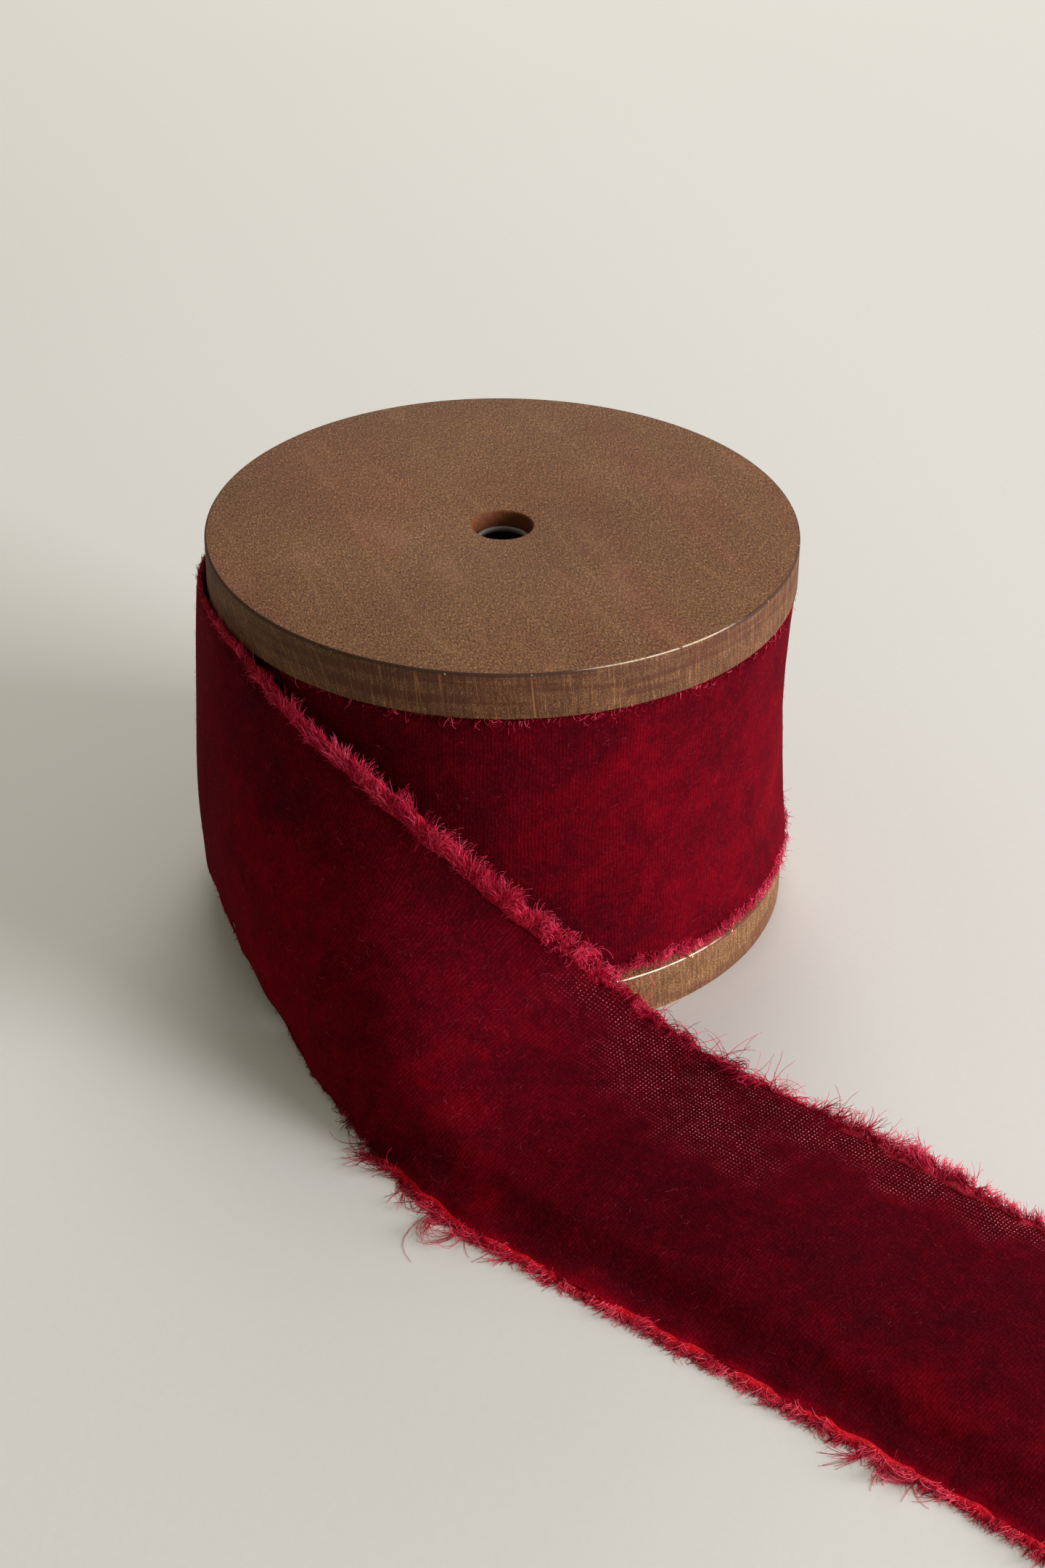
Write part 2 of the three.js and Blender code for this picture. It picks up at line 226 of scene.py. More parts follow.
class Wire:
    """A socket of a shader tree, so that shader maths can be written as expressions"""

    def __init__(self, tree, socket):
        self.tree = tree
        self.socket = socket

    def maths(self, operation, other=None, other_first=False):
        node = self.tree.nodes.new("ShaderNodeMath")
        node.operation = operation
        for slot, value in zip(node.inputs, (other, self) if other_first else (self, other)):
            if isinstance(value, Wire):
                self.tree.links.new(value.socket, slot)
            elif value is not None:
                slot.default_value = value
        return Wire(self.tree, node.outputs[0])

    def __add__(self, other):
        return self.maths("ADD", other)

    def __sub__(self, other):
        return self.maths("SUBTRACT", other)

    def __rsub__(self, other):
        return self.maths("SUBTRACT", other, True)

    def __mul__(self, other):
        return self.maths("MULTIPLY", other)

    def __truediv__(self, other):
        return self.maths("DIVIDE", other)

    __radd__ = __add__
    __rmul__ = __mul__

    def sine(self):
        return self.maths("SINE")

    def size(self):
        return self.maths("ABSOLUTE")

    def clamped(self):
        node = self.tree.nodes.new("ShaderNodeClamp")
        self.tree.links.new(self.socket, node.inputs[0])
        return Wire(self.tree, node.outputs[0])

    def eased(self, start, stop):
        node = self.tree.nodes.new("ShaderNodeMapRange")
        node.interpolation_type = "SMOOTHSTEP"
        self.tree.links.new(self.socket, node.inputs["Value"])
        node.inputs["From Min"].default_value = start
        node.inputs["From Max"].default_value = stop
        return Wire(self.tree, node.outputs[0])


class Finish:
    """One Principled shader and the nodes that feed it"""

    def __init__(self, name):
        self.material = bpy.data.materials.new(name)
        self.material.use_nodes = True
        self.tree = self.material.node_tree
        self.shader = self.tree.nodes["Principled BSDF"]

    def make(self, kind, output=0, settings=None, **inputs):
        node = self.tree.nodes.new(kind)
        for key, value in (settings or {}).items():
            if key == "stops":
                self.set_stops(node.color_ramp, value)
            else:
                setattr(node, key, value)
        for key, value in inputs.items():
            slot = node.inputs[key.replace("_", " ")]
            if isinstance(value, Wire):
                self.tree.links.new(value.socket, slot)
            else:
                slot.default_value = value
        return Wire(self.tree, node.outputs[output])

    def set_stops(self, ramp, stops):
        while len(ramp.elements) < len(stops):
            ramp.elements.new(1.0)
        for element, (position, colour) in zip(ramp.elements, stops):
            element.position = position
            element.color = (*colour, 1.0)

    def ramp(self, amount, *stops):
        """A colour for each amount, from stops of (position, colour)"""
        return self.make("ShaderNodeValToRGB", settings={"stops": stops}, Fac=amount)

    def attribute(self, name):
        return self.make("ShaderNodeAttribute", "Fac", settings={"attribute_name": name})

    def places(self):
        return self.make("ShaderNodeTexCoord", "Object")

    def surface(self):
        return self.make("ShaderNodeTexCoord", "UV")

    def split(self, vector):
        node = self.tree.nodes.new("ShaderNodeSeparateXYZ")
        self.tree.links.new(vector.socket, node.inputs[0])
        return [Wire(self.tree, socket) for socket in node.outputs]

    def joined(self, x, y, z):
        return self.make("ShaderNodeCombineXYZ", X=x, Y=y, Z=z)

    def noise(self, place, scale, detail=2.0, roughness=0.5, distortion=0.0):
        """Noise at a place, given as a vector or as its x, y and z"""
        vector = self.joined(*place) if isinstance(place, tuple) else place
        return self.make(
            "ShaderNodeTexNoise",
            "Fac",
            Vector=vector,
            Scale=scale,
            Detail=detail,
            Roughness=roughness,
            Distortion=distortion,
        )

    def mixed(self, amount, first, second, blend="MIX"):
        node = self.tree.nodes.new("ShaderNodeMix")
        node.data_type = "RGBA"
        node.blend_type = blend
        for index, value in ((0, amount), (6, first), (7, second)):
            if isinstance(value, Wire):
                self.tree.links.new(value.socket, node.inputs[index])
            else:
                node.inputs[index].default_value = value if index == 0 else (*value, 1.0)
        return Wire(self.tree, node.outputs[2])

    def bump(self, height, distance, strength):
        return self.make("ShaderNodeBump", Height=height, Distance=distance, Strength=strength)

    def finish(self, colour, roughness, normal=None, **constants):
        for name, value in (("Base Color", colour), ("Roughness", roughness), ("Normal", normal)):
            if isinstance(value, Wire):
                self.tree.links.new(value.socket, self.shader.inputs[name])
            elif value is not None:
                is_colour = isinstance(value, tuple)
                self.shader.inputs[name].default_value = (*value, 1.0) if is_colour else value
        for name, value in constants.items():
            self.shader.inputs[name.replace("_", " ")].default_value = value
        return self.material


def spool_places(finish):
    """Object coordinates in millimetres from the spool's axis, as x, y, z, radius and angle"""
    x, y, z = finish.split(finish.places())
    x = (x - AXIS.x) / MM
    y = (y - AXIS.y) / MM
    z = z / MM
    radius = (x * x + y * y).maths("SQRT")
    angle = y.maths("ARCTAN2", x)
    return x, y, z, radius, angle


def stained_wood(name, face_height, tone_and_light, lined):
    """Brown stained board: short fibres on its faces, specks and fine upright lines on its rim"""
    finish = Finish(name)
    x, y, z, radius, angle = spool_places(finish)
    spot = finish.joined(x, y, z)
    grain_turn = math.radians(-68)
    along = x * math.cos(grain_turn) + y * math.sin(grain_turn)
    beside = y * math.cos(grain_turn) - x * math.sin(grain_turn)
    clouds = finish.noise(spot, 0.06, 3.0, 0.6)
    patches = finish.noise((x + 11, y + 3, z), 0.14, 3.0, 0.6)
    dashes = finish.noise((beside * 6.0, along * 2.0, z), 1.0, 2.0, 0.6, 0.4)
    grit = finish.noise(spot, 9.0, 2.0, 0.7)
    face = finish.ramp(
        dashes * 0.60 + grit * 0.33 + clouds * 0.07,
        (0.38, (0.040, 0.012, 0.004)),
        (0.46, (0.142, 0.054, 0.018)),
        (0.54, (0.214, 0.092, 0.032)),
        (0.62, (0.470, 0.240, 0.090)),
    )
    figure = finish.noise((beside * 0.09, along * 0.02, 3.0), 1.0, 2.0, 0.5, 0.5)
    redder = (figure.eased(0.46, 0.62) * 0.7 + (patches - 0.5) * 0.6).clamped()
    face_colour = finish.mixed(redder * 0.75, face, (1.05, 0.78, 0.90), "MULTIPLY")
    ghost = finish.noise((beside * 0.11, along * 0.010, 7.0), 1.0, 1.0, 0.4)
    streaks = (1 - ((ghost - 0.5).size() * 40).clamped()) * patches.eased(0.38, 0.56)
    face_colour = finish.mixed(streaks * 0.13, face_colour, (0.50, 0.25, 0.13))

    level = z - face_height
    turning = level * 0.0025 + level * (0 - x).eased(12.0, 30.0) * 0.016
    rim_x = x - y * turning
    rim_y = y + x * turning
    specks = finish.noise((rim_x, rim_y, z), 6.5, 3.0, 0.8)
    upright = finish.noise((rim_x * 3.2, rim_y * 3.2, z * 0.35), 1.0, 2.0, 0.6)
    blotches = finish.noise((rim_x * 0.12, rim_y * 0.12, z * 0.4), 1.0, 3.0, 0.6)
    rim = finish.ramp(
        specks * 0.66 + upright * 0.22 + blotches * 0.12,
        (0.36, (0.024, 0.008, 0.003)),
        (0.46, (0.082, 0.030, 0.010)),
        (0.54, (0.145, 0.060, 0.022)),
        (0.66, (0.460, 0.240, 0.100)),
    )
    dark_bands = finish.noise((rim_x * 0.05, rim_y * 0.05, z * 0.75), 1.0, 2.0, 0.5)
    rim = finish.mixed(dark_bands.eased(0.50, 0.66) * 0.6, rim, (0.070, 0.016, 0.007))
    lines = finish.noise((rim_x * 0.8, rim_y * 0.8, z * 0.012), 1.0, 2.0, 0.7)
    fine_lines = 1 - ((lines - 0.5).size() * 90).clamped()
    gaps = finish.noise((rim_x * 0.7, rim_y * 0.7, z * 0.35), 1.0, 1.0, 0.5)
    fine_lines = fine_lines * gaps.eased(0.38, 0.55)
    rim_colour = finish.mixed(fine_lines * lined, rim, (0.42, 0.180, 0.062))

    edge = DISC_RADIUS / MM
    on_rim = radius.eased(edge - 0.30, edge - 0.10)
    in_bore = 1 - radius.eased(BORE_RADIUS / MM + 0.05, BORE_RADIUS / MM + 0.3)
    colour = finish.mixed(on_rim, face_colour, rim_colour)
    # Painted shade: the bore's wall is coloured darker than the faces, for the shade down the hole
    bore_grain = finish.noise((x * 1.4, y * 1.4, z * 2.5), 1.0, 3.0, 0.6)
    shaded_bore = finish.mixed(bore_grain, (0.050, 0.011, 0.003), (0.23, 0.068, 0.020))
    colour = finish.mixed(in_bore, colour, shaded_bore)
    outermost = radius.eased(edge - 0.30, edge - 0.15)
    corner = (1 - (level + 0.20).size().eased(0.16, 0.34)) * outermost
    # Where the top edge faces the key light at the front right
    lit_front = 1 - (angle + 1.02).size().eased(0.16, 0.36)
    chips = finish.noise(spot, 1.1, 3.0, 0.7)
    highlight_line = (1 - (level + 0.07).size().eased(0.02, 0.09)) * outermost
    wear_and_glint = highlight_line * lit_front * chips.eased(0.32, 0.46)
    # Painted shade: the rounded corner is darkened everywhere away from the front right
    colour = finish.mixed(corner * (1 - lit_front) * 0.8, colour, (0.045, 0.020, 0.010))
    # Painted highlight: a bright line along the top edge at the front right, broken up by chips
    colour = finish.mixed(wear_and_glint * 0.8, colour, (0.85, 0.72, 0.56))
    flecks = corner * chips.eased(0.66, 0.70)
    colour = finish.mixed(flecks, colour, (0.80, 0.55, 0.28))
    # Each disc's tone; for the lower disc it partly paints light
    colour = finish.mixed(1.0, colour, tone_and_light, "MULTIPLY")
    height = dashes * (1 - on_rim) + (upright * 0.3 + specks * 0.7 - fine_lines * 0.2) * on_rim
    normal = finish.bump(height, 0.16 * MM, 0.7)
    rough = 0.72 - wear_and_glint * 0.3 + (grit - 0.5) * 0.2
    return finish.finish(colour, rough, normal, Specular_IOR_Level=0.25)


def core_board():
    """Grey paper board, light on its cut rim, darkened down the hole as painted shade"""
    finish = Finish("core_board_grey")
    x, y, z, radius, _ = spool_places(finish)
    spot = finish.joined(x, y, z)
    fibres = finish.noise(spot, 4.0, 3.0, 0.6)
    layers = (radius * 42.0 + fibres * 2.0).sine()
    shade = fibres * 0.6 + layers * 0.08 + 0.2
    colour = finish.mixed(shade.clamped(), (0.09, 0.07, 0.055), (0.36, 0.34, 0.32))
    # Painted shade: the board turns near black the deeper it lies down the hole
    depth = (CORE_HIGH.z / MM - z).eased(0.05, 0.7)
    colour = finish.mixed(depth, colour, (0.008, 0.005, 0.004))
    normal = finish.bump(fibres, 0.05 * MM, 0.6)
    return finish.finish(colour, 0.85, normal, Specular_IOR_Level=0.1)


def velvet():
    """Crimson cut pile. Attributes of the cloth say where it is brushed lighter and where light and
    shade are painted onto it (nap), worn down to its weave (thin) and matted at a frayed
    edge, lighter there partly as painted light (rim)."""
    finish = Finish("velvet_crimson")
    run, across, _ = finish.split(finish.surface())
    nap, thin, rim = (finish.attribute(name) for name in ("nap", "thin", "rim"))
    spot = finish.places()
    patches = finish.noise(spot, 95.0, 3.0, 0.55)
    mottles = finish.noise(spot, 240.0, 2.0, 0.6, 0.5)
    tufts = finish.noise(spot, 430.0, 3.0, 0.6, 0.6)
    pile = finish.noise(spot, 2300.0, 2.0, 0.7)
    grain = finish.noise(spot, 5200.0, 1.0, 0.6)
    sway = finish.noise(spot, 160.0, 1.0, 0.5)
    jitter = finish.noise(spot, 1100.0, 0.0, 0.5)
    wavy_run = run + sway * 0.5 + jitter * 0.16
    wavy_across = across + sway * 0.35 - jitter * 0.22
    ribs = (wavy_run * (TURN / (RIB_PITCH / MM))).sine() * 0.5 + 0.5
    picks = (wavy_across * (TURN / (PICK_PITCH / MM))).sine() * 0.5 + 0.5

    level = nap + (patches - 0.5) * 0.28 + (mottles - 0.5) * 0.32 + (tufts - 0.5) * 0.34
    level = level + (pile - 0.5) * 0.26 + (grain - 0.5) * 0.16
    level = level + (ribs - 0.5) * (tufts - 0.28).clamped() * 0.44
    cloth = finish.ramp(
        level.clamped(),
        (0.10, (0.022, 0.0010, 0.0036)),
        (0.36, (0.066, 0.0008, 0.0036)),
        (0.58, (0.145, 0.0008, 0.0046)),
        (0.82, (0.280, 0.0018, 0.0095)),
        (1.00, (0.440, 0.0120, 0.0360)),
    )
    wandering = finish.noise(spot, 1250.0, 1.0, 0.5, 1.8)
    strands = (1 - (wandering - 0.5).size() * 20).clamped() * pile.eased(0.42, 0.60)
    cloth = finish.mixed(strands * 0.30, cloth, (0.240, 0.012, 0.030))

    wear_and_glint = thin * (1.0 + (tufts - 0.5) * 1.6 + (patches - 0.5) * 2.0)
    ground = finish.mixed(0.5 + (tufts - 0.5) * 1.8, (0.038, 0.0005, 0.0020), (0.155, 0.0012, 0.0080))
    weave = finish.mixed((wear_and_glint * 1.15).clamped(), cloth, ground)
    # Painted light: bright dots of light glinting in the open weave where the pile is worn down
    sparkle = finish.noise(spot, 3100.0, 0.0, 0.5).eased(0.34, 0.66)
    sparkle = (0.10 + sparkle * 0.90) * (0.30 + mottles.eased(0.36, 0.60) * 0.70)
    knots = ribs.eased(0.74, 0.99) * picks.eased(0.60, 0.97) * wear_and_glint.eased(0.15, 0.95)
    floats = finish.noise((run * 0.55, across * 2.2, 0.0), 1.0, 2.0, 0.6)
    floats = floats.eased(0.50, 0.68) * picks.eased(0.5, 1.0) * wear_and_glint.eased(0.05, 0.5)
    colour = finish.mixed(floats * 0.32, weave, (0.34, 0.030, 0.050))
    colour = finish.mixed(knots * sparkle * 0.90, colour, (1.00, 0.48, 0.42))
    # Painted shade in the gaps between the worn threads
    holes = (1 - ribs * 0.6 - picks * 0.6).clamped() * wear_and_glint.eased(0.3, 0.8)
    colour = finish.mixed(holes * 0.7, colour, (0.014, 0.0005, 0.0018))

    # Lighter red along frayed edges: partly matted fibres, partly painted light where the edges catch
    # the light
    matted_and_lit = (rim * (mottles * 1.2 + tufts * 1.0 + pile * 1.2 - 0.75)).clamped()
    colour = finish.mixed(matted_and_lit * 0.7, colour, (0.48, 0.0040, 0.020))

    height = pile * 0.5 + grain * 0.2 + tufts * 0.6 + ribs * 0.06 - holes * 0.5
    normal = finish.bump(height, 0.28 * MM, 0.7)
    finish.shader.inputs["Sheen Tint"].default_value = (1.0, 0.02, 0.08, 1.0)
    return finish.finish(
        colour, 0.95, normal, Sheen_Weight=0.14, Sheen_Roughness=0.45, Specular_IOR_Level=0.02
    )


def frayed_thread(name, dark, middle, bright):
    """Loose silky thread. The attribute shade holds how light each stretch of it is."""
    finish = Finish(name)
    colour = finish.ramp(finish.attribute("shade"), (0.0, dark), (0.5, middle), (1.0, bright))
    finish.shader.inputs["Sheen Tint"].default_value = (1.0, 0.15, 0.3, 1.0)
    return finish.finish(
        colour, 0.6, None, Sheen_Weight=0.1, Sheen_Roughness=0.4, Specular_IOR_Level=0.12
    )


def matted_thread(name, dark, middle, bright):
    """Threads felted into a mass: streaks of fibre under the loose ones"""
    finish = Finish(name)
    shade = finish.attribute("shade")
    run, across, _ = finish.split(finish.surface())
    slanted = finish.joined(run * 0.8 + across * 0.5, across * 1.9 - run * 1.2, 0.0)
    streaks = finish.noise(slanted, 2.6, 3.0, 0.65, 0.8)
    fuzz = finish.noise(finish.places(), 3800.0, 2.0, 0.7)
    clumps = finish.noise(finish.places(), 700.0, 2.0, 0.6)
    level = shade + (streaks - 0.5) * 1.1 + (fuzz - 0.5) * 0.7 + (clumps - 0.5) * 0.8
    colour = finish.ramp(level.clamped(), (0.05, dark), (0.5, middle), (0.95, bright))
    normal = finish.bump(streaks * 0.6 + fuzz * 0.4 + clumps * 0.6, 0.35 * MM, 1.0)
    return finish.finish(colour, 0.85, normal, Specular_IOR_Level=0.05)


def table_top():
    """Pale warm grey surface with the faintest tooth"""
    finish = Finish("table_pale")
    spot = finish.places()
    tooth = finish.noise(spot, 900.0, 2.0, 0.6)
    cloud = finish.noise(spot, 6.0, 2.0, 0.5)
    colour = finish.mixed(tooth * 0.5 + cloud * 0.5, (0.70, 0.685, 0.645), (0.76, 0.745, 0.705))
    return finish.finish(colour, 0.75, finish.bump(tooth, 0.03 * MM, 0.4))


def as_object(name, mesh, material):
    thing = bpy.data.objects.new(name, mesh)
    bpy.context.scene.collection.objects.link(thing)
    mesh.materials.append(material)
    return thing


def spun_ring(name, outline, material, rounds, sides=180):
    """A ring spun about the spool's axis from an outline of (radius, height) points. rounds is
    how far the corners are rounded off."""
    shape = bmesh.new()
    corners = [shape.verts.new((AXIS.x + radius, AXIS.y, height)) for radius, height in outline]
    edges = [shape.edges.new(pair) for pair in zip(corners, corners[1:] + corners[:1])]
    bmesh.ops.spin(
        shape,
        geom=corners + edges,
        cent=AXIS,
        axis=(0, 0, 1),
        angle=TURN,
        steps=sides,
        use_merge=True,
        use_duplicate=False,
    )
    bmesh.ops.remove_doubles(shape, verts=shape.verts, dist=1e-7)
    bmesh.ops.recalc_face_normals(shape, faces=shape.faces)
    hard = [edge for edge in shape.edges if edge.calc_face_angle(0) > math.radians(50)]
    bmesh.ops.bevel(
        shape,
        geom=hard,
        offset=rounds,
        offset_type="OFFSET",
        segments=4,
        profile=0.5,
        affect="EDGES",
        material=-1,
    )
    bmesh.ops.triangulate(shape, faces=[face for face in shape.faces if len(face.verts) > 4])
    return as_object(name, mesh_from(shape, name, 40), material)


def add_discs():
    outline = [
        (BORE_RADIUS, 0.0),
        (DISC_RADIUS, 0.0),
        (DISC_RADIUS, LOWER_HIGH.z - LOWER_LOW.z),
        (BORE_RADIUS, LOWER_HIGH.z - LOWER_LOW.z),
    ]
    # The lower disc's tone makes it much lighter than the upper one: partly painted light, for light
    # bounced onto it from the table
    for node, bottom, tone_and_light, lined in (
        ("disc_lower", LOWER_LOW.z, (1.48, 1.63, 1.68), 0.18),
        ("disc_upper", UPPER_LOW.z, (0.97, 0.94, 0.91), 0.62),
    ):
        raised = [(radius, height + bottom) for radius, height in outline]
        wood = stained_wood(f"{node}_wood", raised[2][1] / MM, tone_and_light, lined)
        disc = spun_ring(f"{node}_board", raised, wood, DISC_EDGE_ROUND)
        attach(disc, "root")
        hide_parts(node)


def add_core():
    outline = [
        (CORE_RADIUS - CORE_WALL, CORE_LOW.z),
        (CORE_RADIUS, CORE_LOW.z),
        (CORE_RADIUS, CORE_HIGH.z),
        (CORE_RADIUS - CORE_WALL, CORE_HIGH.z),
    ]
    tube = spun_ring("core_tube_board", outline, core_board(), 0.12 * MM, 96)
    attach(tube, "root")
    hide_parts("core_tube")


def roll_radius(degrees, heights):
    """The wound ribbon's outer radius at each angle and height, in metres"""
    turned = np.mod(degrees - LEAVE_ANGLE - STEP_ANGLE, 360)
    wound = np.minimum(turned / (360 - STEP_ANGLE), 1)
    stepped_down = np.maximum(turned - (360 - STEP_ANGLE), 0) / STEP_ANGLE
    spiral = ROLL_RADIUS_LOW + (ROLL_RADIUS_HIGH - ROLL_RADIUS_LOW) * (wound - stepped_down)
    facing = np.maximum(0, np.cos(np.radians(degrees - FLARE_FACING)))
    levels, flares, dips = np.array(ROLL_PROFILE).T * MM
    flare = np.interp(heights, levels, flares)
    dip = np.interp(heights, levels, dips)
    waves = 0.10 * MM * np.sin(np.radians(degrees * 7) + heights / MM * 0.12)
    waves += 0.07 * MM * np.sin(np.radians(degrees * 13) - heights / MM * 0.21)
    return spiral + flare * facing - dip + waves * facing


def mapped_grid(columns, rows, place, texture, values):
    """A grid laid over a surface. place, texture and values take u and v from 0 to 1 and give its
    points, its UVs in millimetres and named numbers for its points."""
    shape = bmesh.new()
    uv_layer = shape.loops.layers.uv.new("UVMap")
    bmesh.ops.create_grid(shape, x_segments=columns, y_segments=rows, size=0.5)
    spots = np.clip(np.array([vert.co[:2] for vert in shape.verts]) + 0.5, 0, 1)
    u, v = spots[:, 0], spots[:, 1]
    textured = texture(u, v)
    shape.verts.index_update()
    for face in shape.faces:
        for loop in face.loops:
            loop[uv_layer].uv = textured[loop.vert.index]
    for key, numbers in values(u, v).items():
        layer = shape.verts.layers.float.new(key)
        for vert, number in zip(shape.verts, numbers):
            vert[layer] = number
    for vert, point in zip(shape.verts, place(u, v)):
        vert.co = point
    return shape


def mesh_from(shape, name, angle=60):
    bmesh.ops.recalc_face_normals(shape, faces=shape.faces)
    mesh = bpy.data.meshes.new(name)
    shape.to_mesh(mesh)
    shape.free()
    mesh.shade_smooth()
    mesh.set_sharp_from_angle(angle=math.radians(angle))
    return mesh


def patch_sum(patches, run, across):
    """The patches of a table added up, with edges that wander a little"""
    total = np.zeros_like(run)
    shifted_run = run + 2.2 * np.sin(across * 0.45 + run * 0.11) + 1.1 * np.sin(across * 1.3)
    shifted_across = across + 1.1 * np.sin(run * 0.5 + 1.0) + 0.6 * np.sin(run * 1.27)
    for at_run, at_across, long, wide, light in patches:
        reach = ((shifted_run - at_run) / long) ** 2 + ((shifted_across - at_across) / wide) ** 2
        total += light * np.exp(-reach)
    return total


def roll_angle(part):
    """Angle of the roll's surface from the step, once round against the ribbon's run"""
    return LEAVE_ANGLE + 3 - 360 + 360 * part


def wound_face(v):
    """How far up the roll's outer face a row of its grid is; the first and last rows run inwards"""
    inside_share = 0.06
    face = np.clip((v - inside_share) / (1 - 2 * inside_share), 0, 1)
    inward = np.clip((inside_share - v) / inside_share, 0, 1)
    inward = np.maximum(inward, np.clip((v - 1 + inside_share) / inside_share, 0, 1))
    return face, inward


def add_roll(material):
    inner = CORE_RADIUS + 0.3 * MM
    low = ROLL_PROFILE[0][0] * MM
    high = ROLL_PROFILE[-1][0] * MM

    def place(u, v):
        degrees = roll_angle(u)
        face, inward = wound_face(v)
        height = low + (high - low) * face
        radius = roll_radius(degrees, height)
        radius = radius + (inner - radius) * inward
        turn = np.radians(degrees)
        return np.stack(
            [AXIS.x + radius * np.cos(turn), AXIS.y + radius * np.sin(turn), height], axis=1
        )

    def texture(u, v):
        face, _ = wound_face(v)
        return np.stack([np.radians(roll_angle(u)) * RUN_RADIUS, face * RIBBON_WIDTH / MM], axis=1)

    def values(u, v):
        run, across = texture(u, v).T
        facing = np.maximum(0, np.cos(np.radians(roll_angle(u) - FLARE_FACING)))
        # A lighter red band along the lower edge: partly matted fibres, partly painted light,
        # strongest on the side towards the key light
        fringe = 1.7 + 0.6 * np.sin(run * 0.5) + 0.5 * np.sin(run * 1.31 + 2)
        rim = np.clip((fringe - across) / 0.9 + 0.3, 0, 1) * (0.15 + 0.30 * facing)
        rim = np.maximum(rim, np.clip((across - 37.4) / 0.8, 0, 1) * 0.1)
        nap = 0.338 + patch_sum(NAP_AND_LIGHT_WOUND, run, across)
        return {"nap": nap, "thin": np.zeros_like(run), "rim": rim}

    shape = mapped_grid(380, 84, place, texture, values)
    bmesh.ops.remove_doubles(shape, verts=shape.verts, dist=1e-6)
    inner_rims = [edge for edge in shape.edges if edge.is_boundary]
    bmesh.ops.bridge_loops(shape, edges=inner_rims)
    roll = as_object("ribbon_wound", mesh_from(shape, "ribbon_wound"), material)
    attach(roll, "root")
    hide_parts("ribbon_roll")


def section_table():
    """Every section as one row: lower edge, upper edge, belly and neck, in metres"""
    rows = []
    for degrees, radius in zip(WOUND_ANGLES, WOUND_RADII):
        turn = math.radians(degrees)
        x = radius * math.cos(turn)
        y = radius * math.sin(turn)
        rows.append((x, y, WOUND_EDGES[0], x, y, WOUND_EDGES[1], 0, 0))
    for low, high, belly, neck in SECTIONS:
        rows.append(tuple(value * MM for value in (*low, *high, belly, neck)))
    return np.array(rows)


ROWS = section_table()


def catmull(station):
    index = np.clip(np.floor(station).astype(int), 0, len(ROWS) - 2)
    part = (station - index)[:, None]
    a = ROWS[np.maximum(index - 1, 0)]
    b = ROWS[index]
    c = ROWS[index + 1]
    d = ROWS[np.minimum(index + 2, len(ROWS) - 1)]
    cubic = (3 * b - a - 3 * c + d) * part**3 + (2 * a - 5 * b + 4 * c - d) * part**2
    return 0.5 * (cubic + (c - a) * part + 2 * b)


# How far each section lies along the ribbon, from section to section
SECTION_STEPS = np.linalg.norm(np.diff((ROWS[:, :3] + ROWS[:, 3:6]) / 2, axis=0), axis=1)
SECTION_LENGTHS = np.concatenate([[0], np.cumsum(SECTION_STEPS)]) / MM


def edge_waver(station, across):
    """How far the cloth's edges wander in or out, in metres; its middle stays where it is"""
    length = np.interp(station, np.arange(len(ROWS)), SECTION_LENGTHS)
    loose = np.clip((station - FIRST - 5) / 3, 0, 1)
    weight = np.clip(np.abs(across - 0.5) * 2 - 0.8, 0, 1) / 0.2
    wander = 0.17 * np.sin(length * 0.62 + 2.2 * np.sin(length * 0.21) + across * 4.0)
    wander += 0.13 * np.sin(length * 1.45 + 1.7 * np.sin(length * 0.34) - across * 2.0)
    return wander * weight * loose * MM


def unit(vectors):
    return vectors / np.maximum(np.linalg.norm(vectors, axis=-1, keepdims=True), 1e-12)


def eased(part):
    """A share from 0 to 1, made to start and end softly"""
    return part * part * (3 - 2 * part)


def cloth_depth(across):
    """The cloth's thickness, which thins out towards its frayed edges"""
    inside = np.clip(np.minimum(across, 1 - across) * RIBBON_WIDTH / EDGE_TAPER, 0, 1)
    return EDGE_THICKNESS + (CLOTH_THICKNESS - EDGE_THICKNESS) * eased(inside)


def ribbon(station, across):
    """The middle of the loose ribbon and the directions of its run, its width and its face.
    across goes from 0 at the lower edge to 1 at the upper one."""
    nudge = 0.02
    here = catmull(station)
    ahead = catmull(np.minimum(station + nudge, LAST))
    behind = catmull(np.maximum(station - nudge, 0))
    run = unit(ahead[:, :3] + ahead[:, 3:6] - behind[:, :3] - behind[:, 3:6])
    low = here[:, :3]
    high = here[:, 3:6]
    chord = high - low
    outward = unit(np.cross(run, chord))
    belly = low + chord / 3 + outward * here[:, 6:7]
    neck = low + chord * 2 / 3 + outward * here[:, 7:8]
    t = across[:, None]
    s = 1 - t
    middle = s**3 * low + 3 * s**2 * t * belly + 3 * s * t**2 * neck + t**3 * high
    width = unit(s**2 * (belly - low) + 2 * s * t * (neck - belly) + t**2 * (high - neck))
    middle = middle + width * edge_waver(station, across)[:, None]
    distance = across * RIBBON_WIDTH
    flat_part = np.clip((station - (FIRST + 9.0)) / 2.5, 0, 1)
    rise = eased(np.clip((distance - 2.2 * MM) / (5.5 * MM), 0, 1))
    floor = cloth_depth(across) / 2
    resting = np.minimum(middle[:, 2], floor + (middle[:, 2] - floor) * rise)
    middle[:, 2] = middle[:, 2] + (resting - middle[:, 2]) * flat_part
    middle[:, 2] = np.maximum(middle[:, 2], floor)
    face = unit(np.cross(run, width))
    return middle, run, width, face


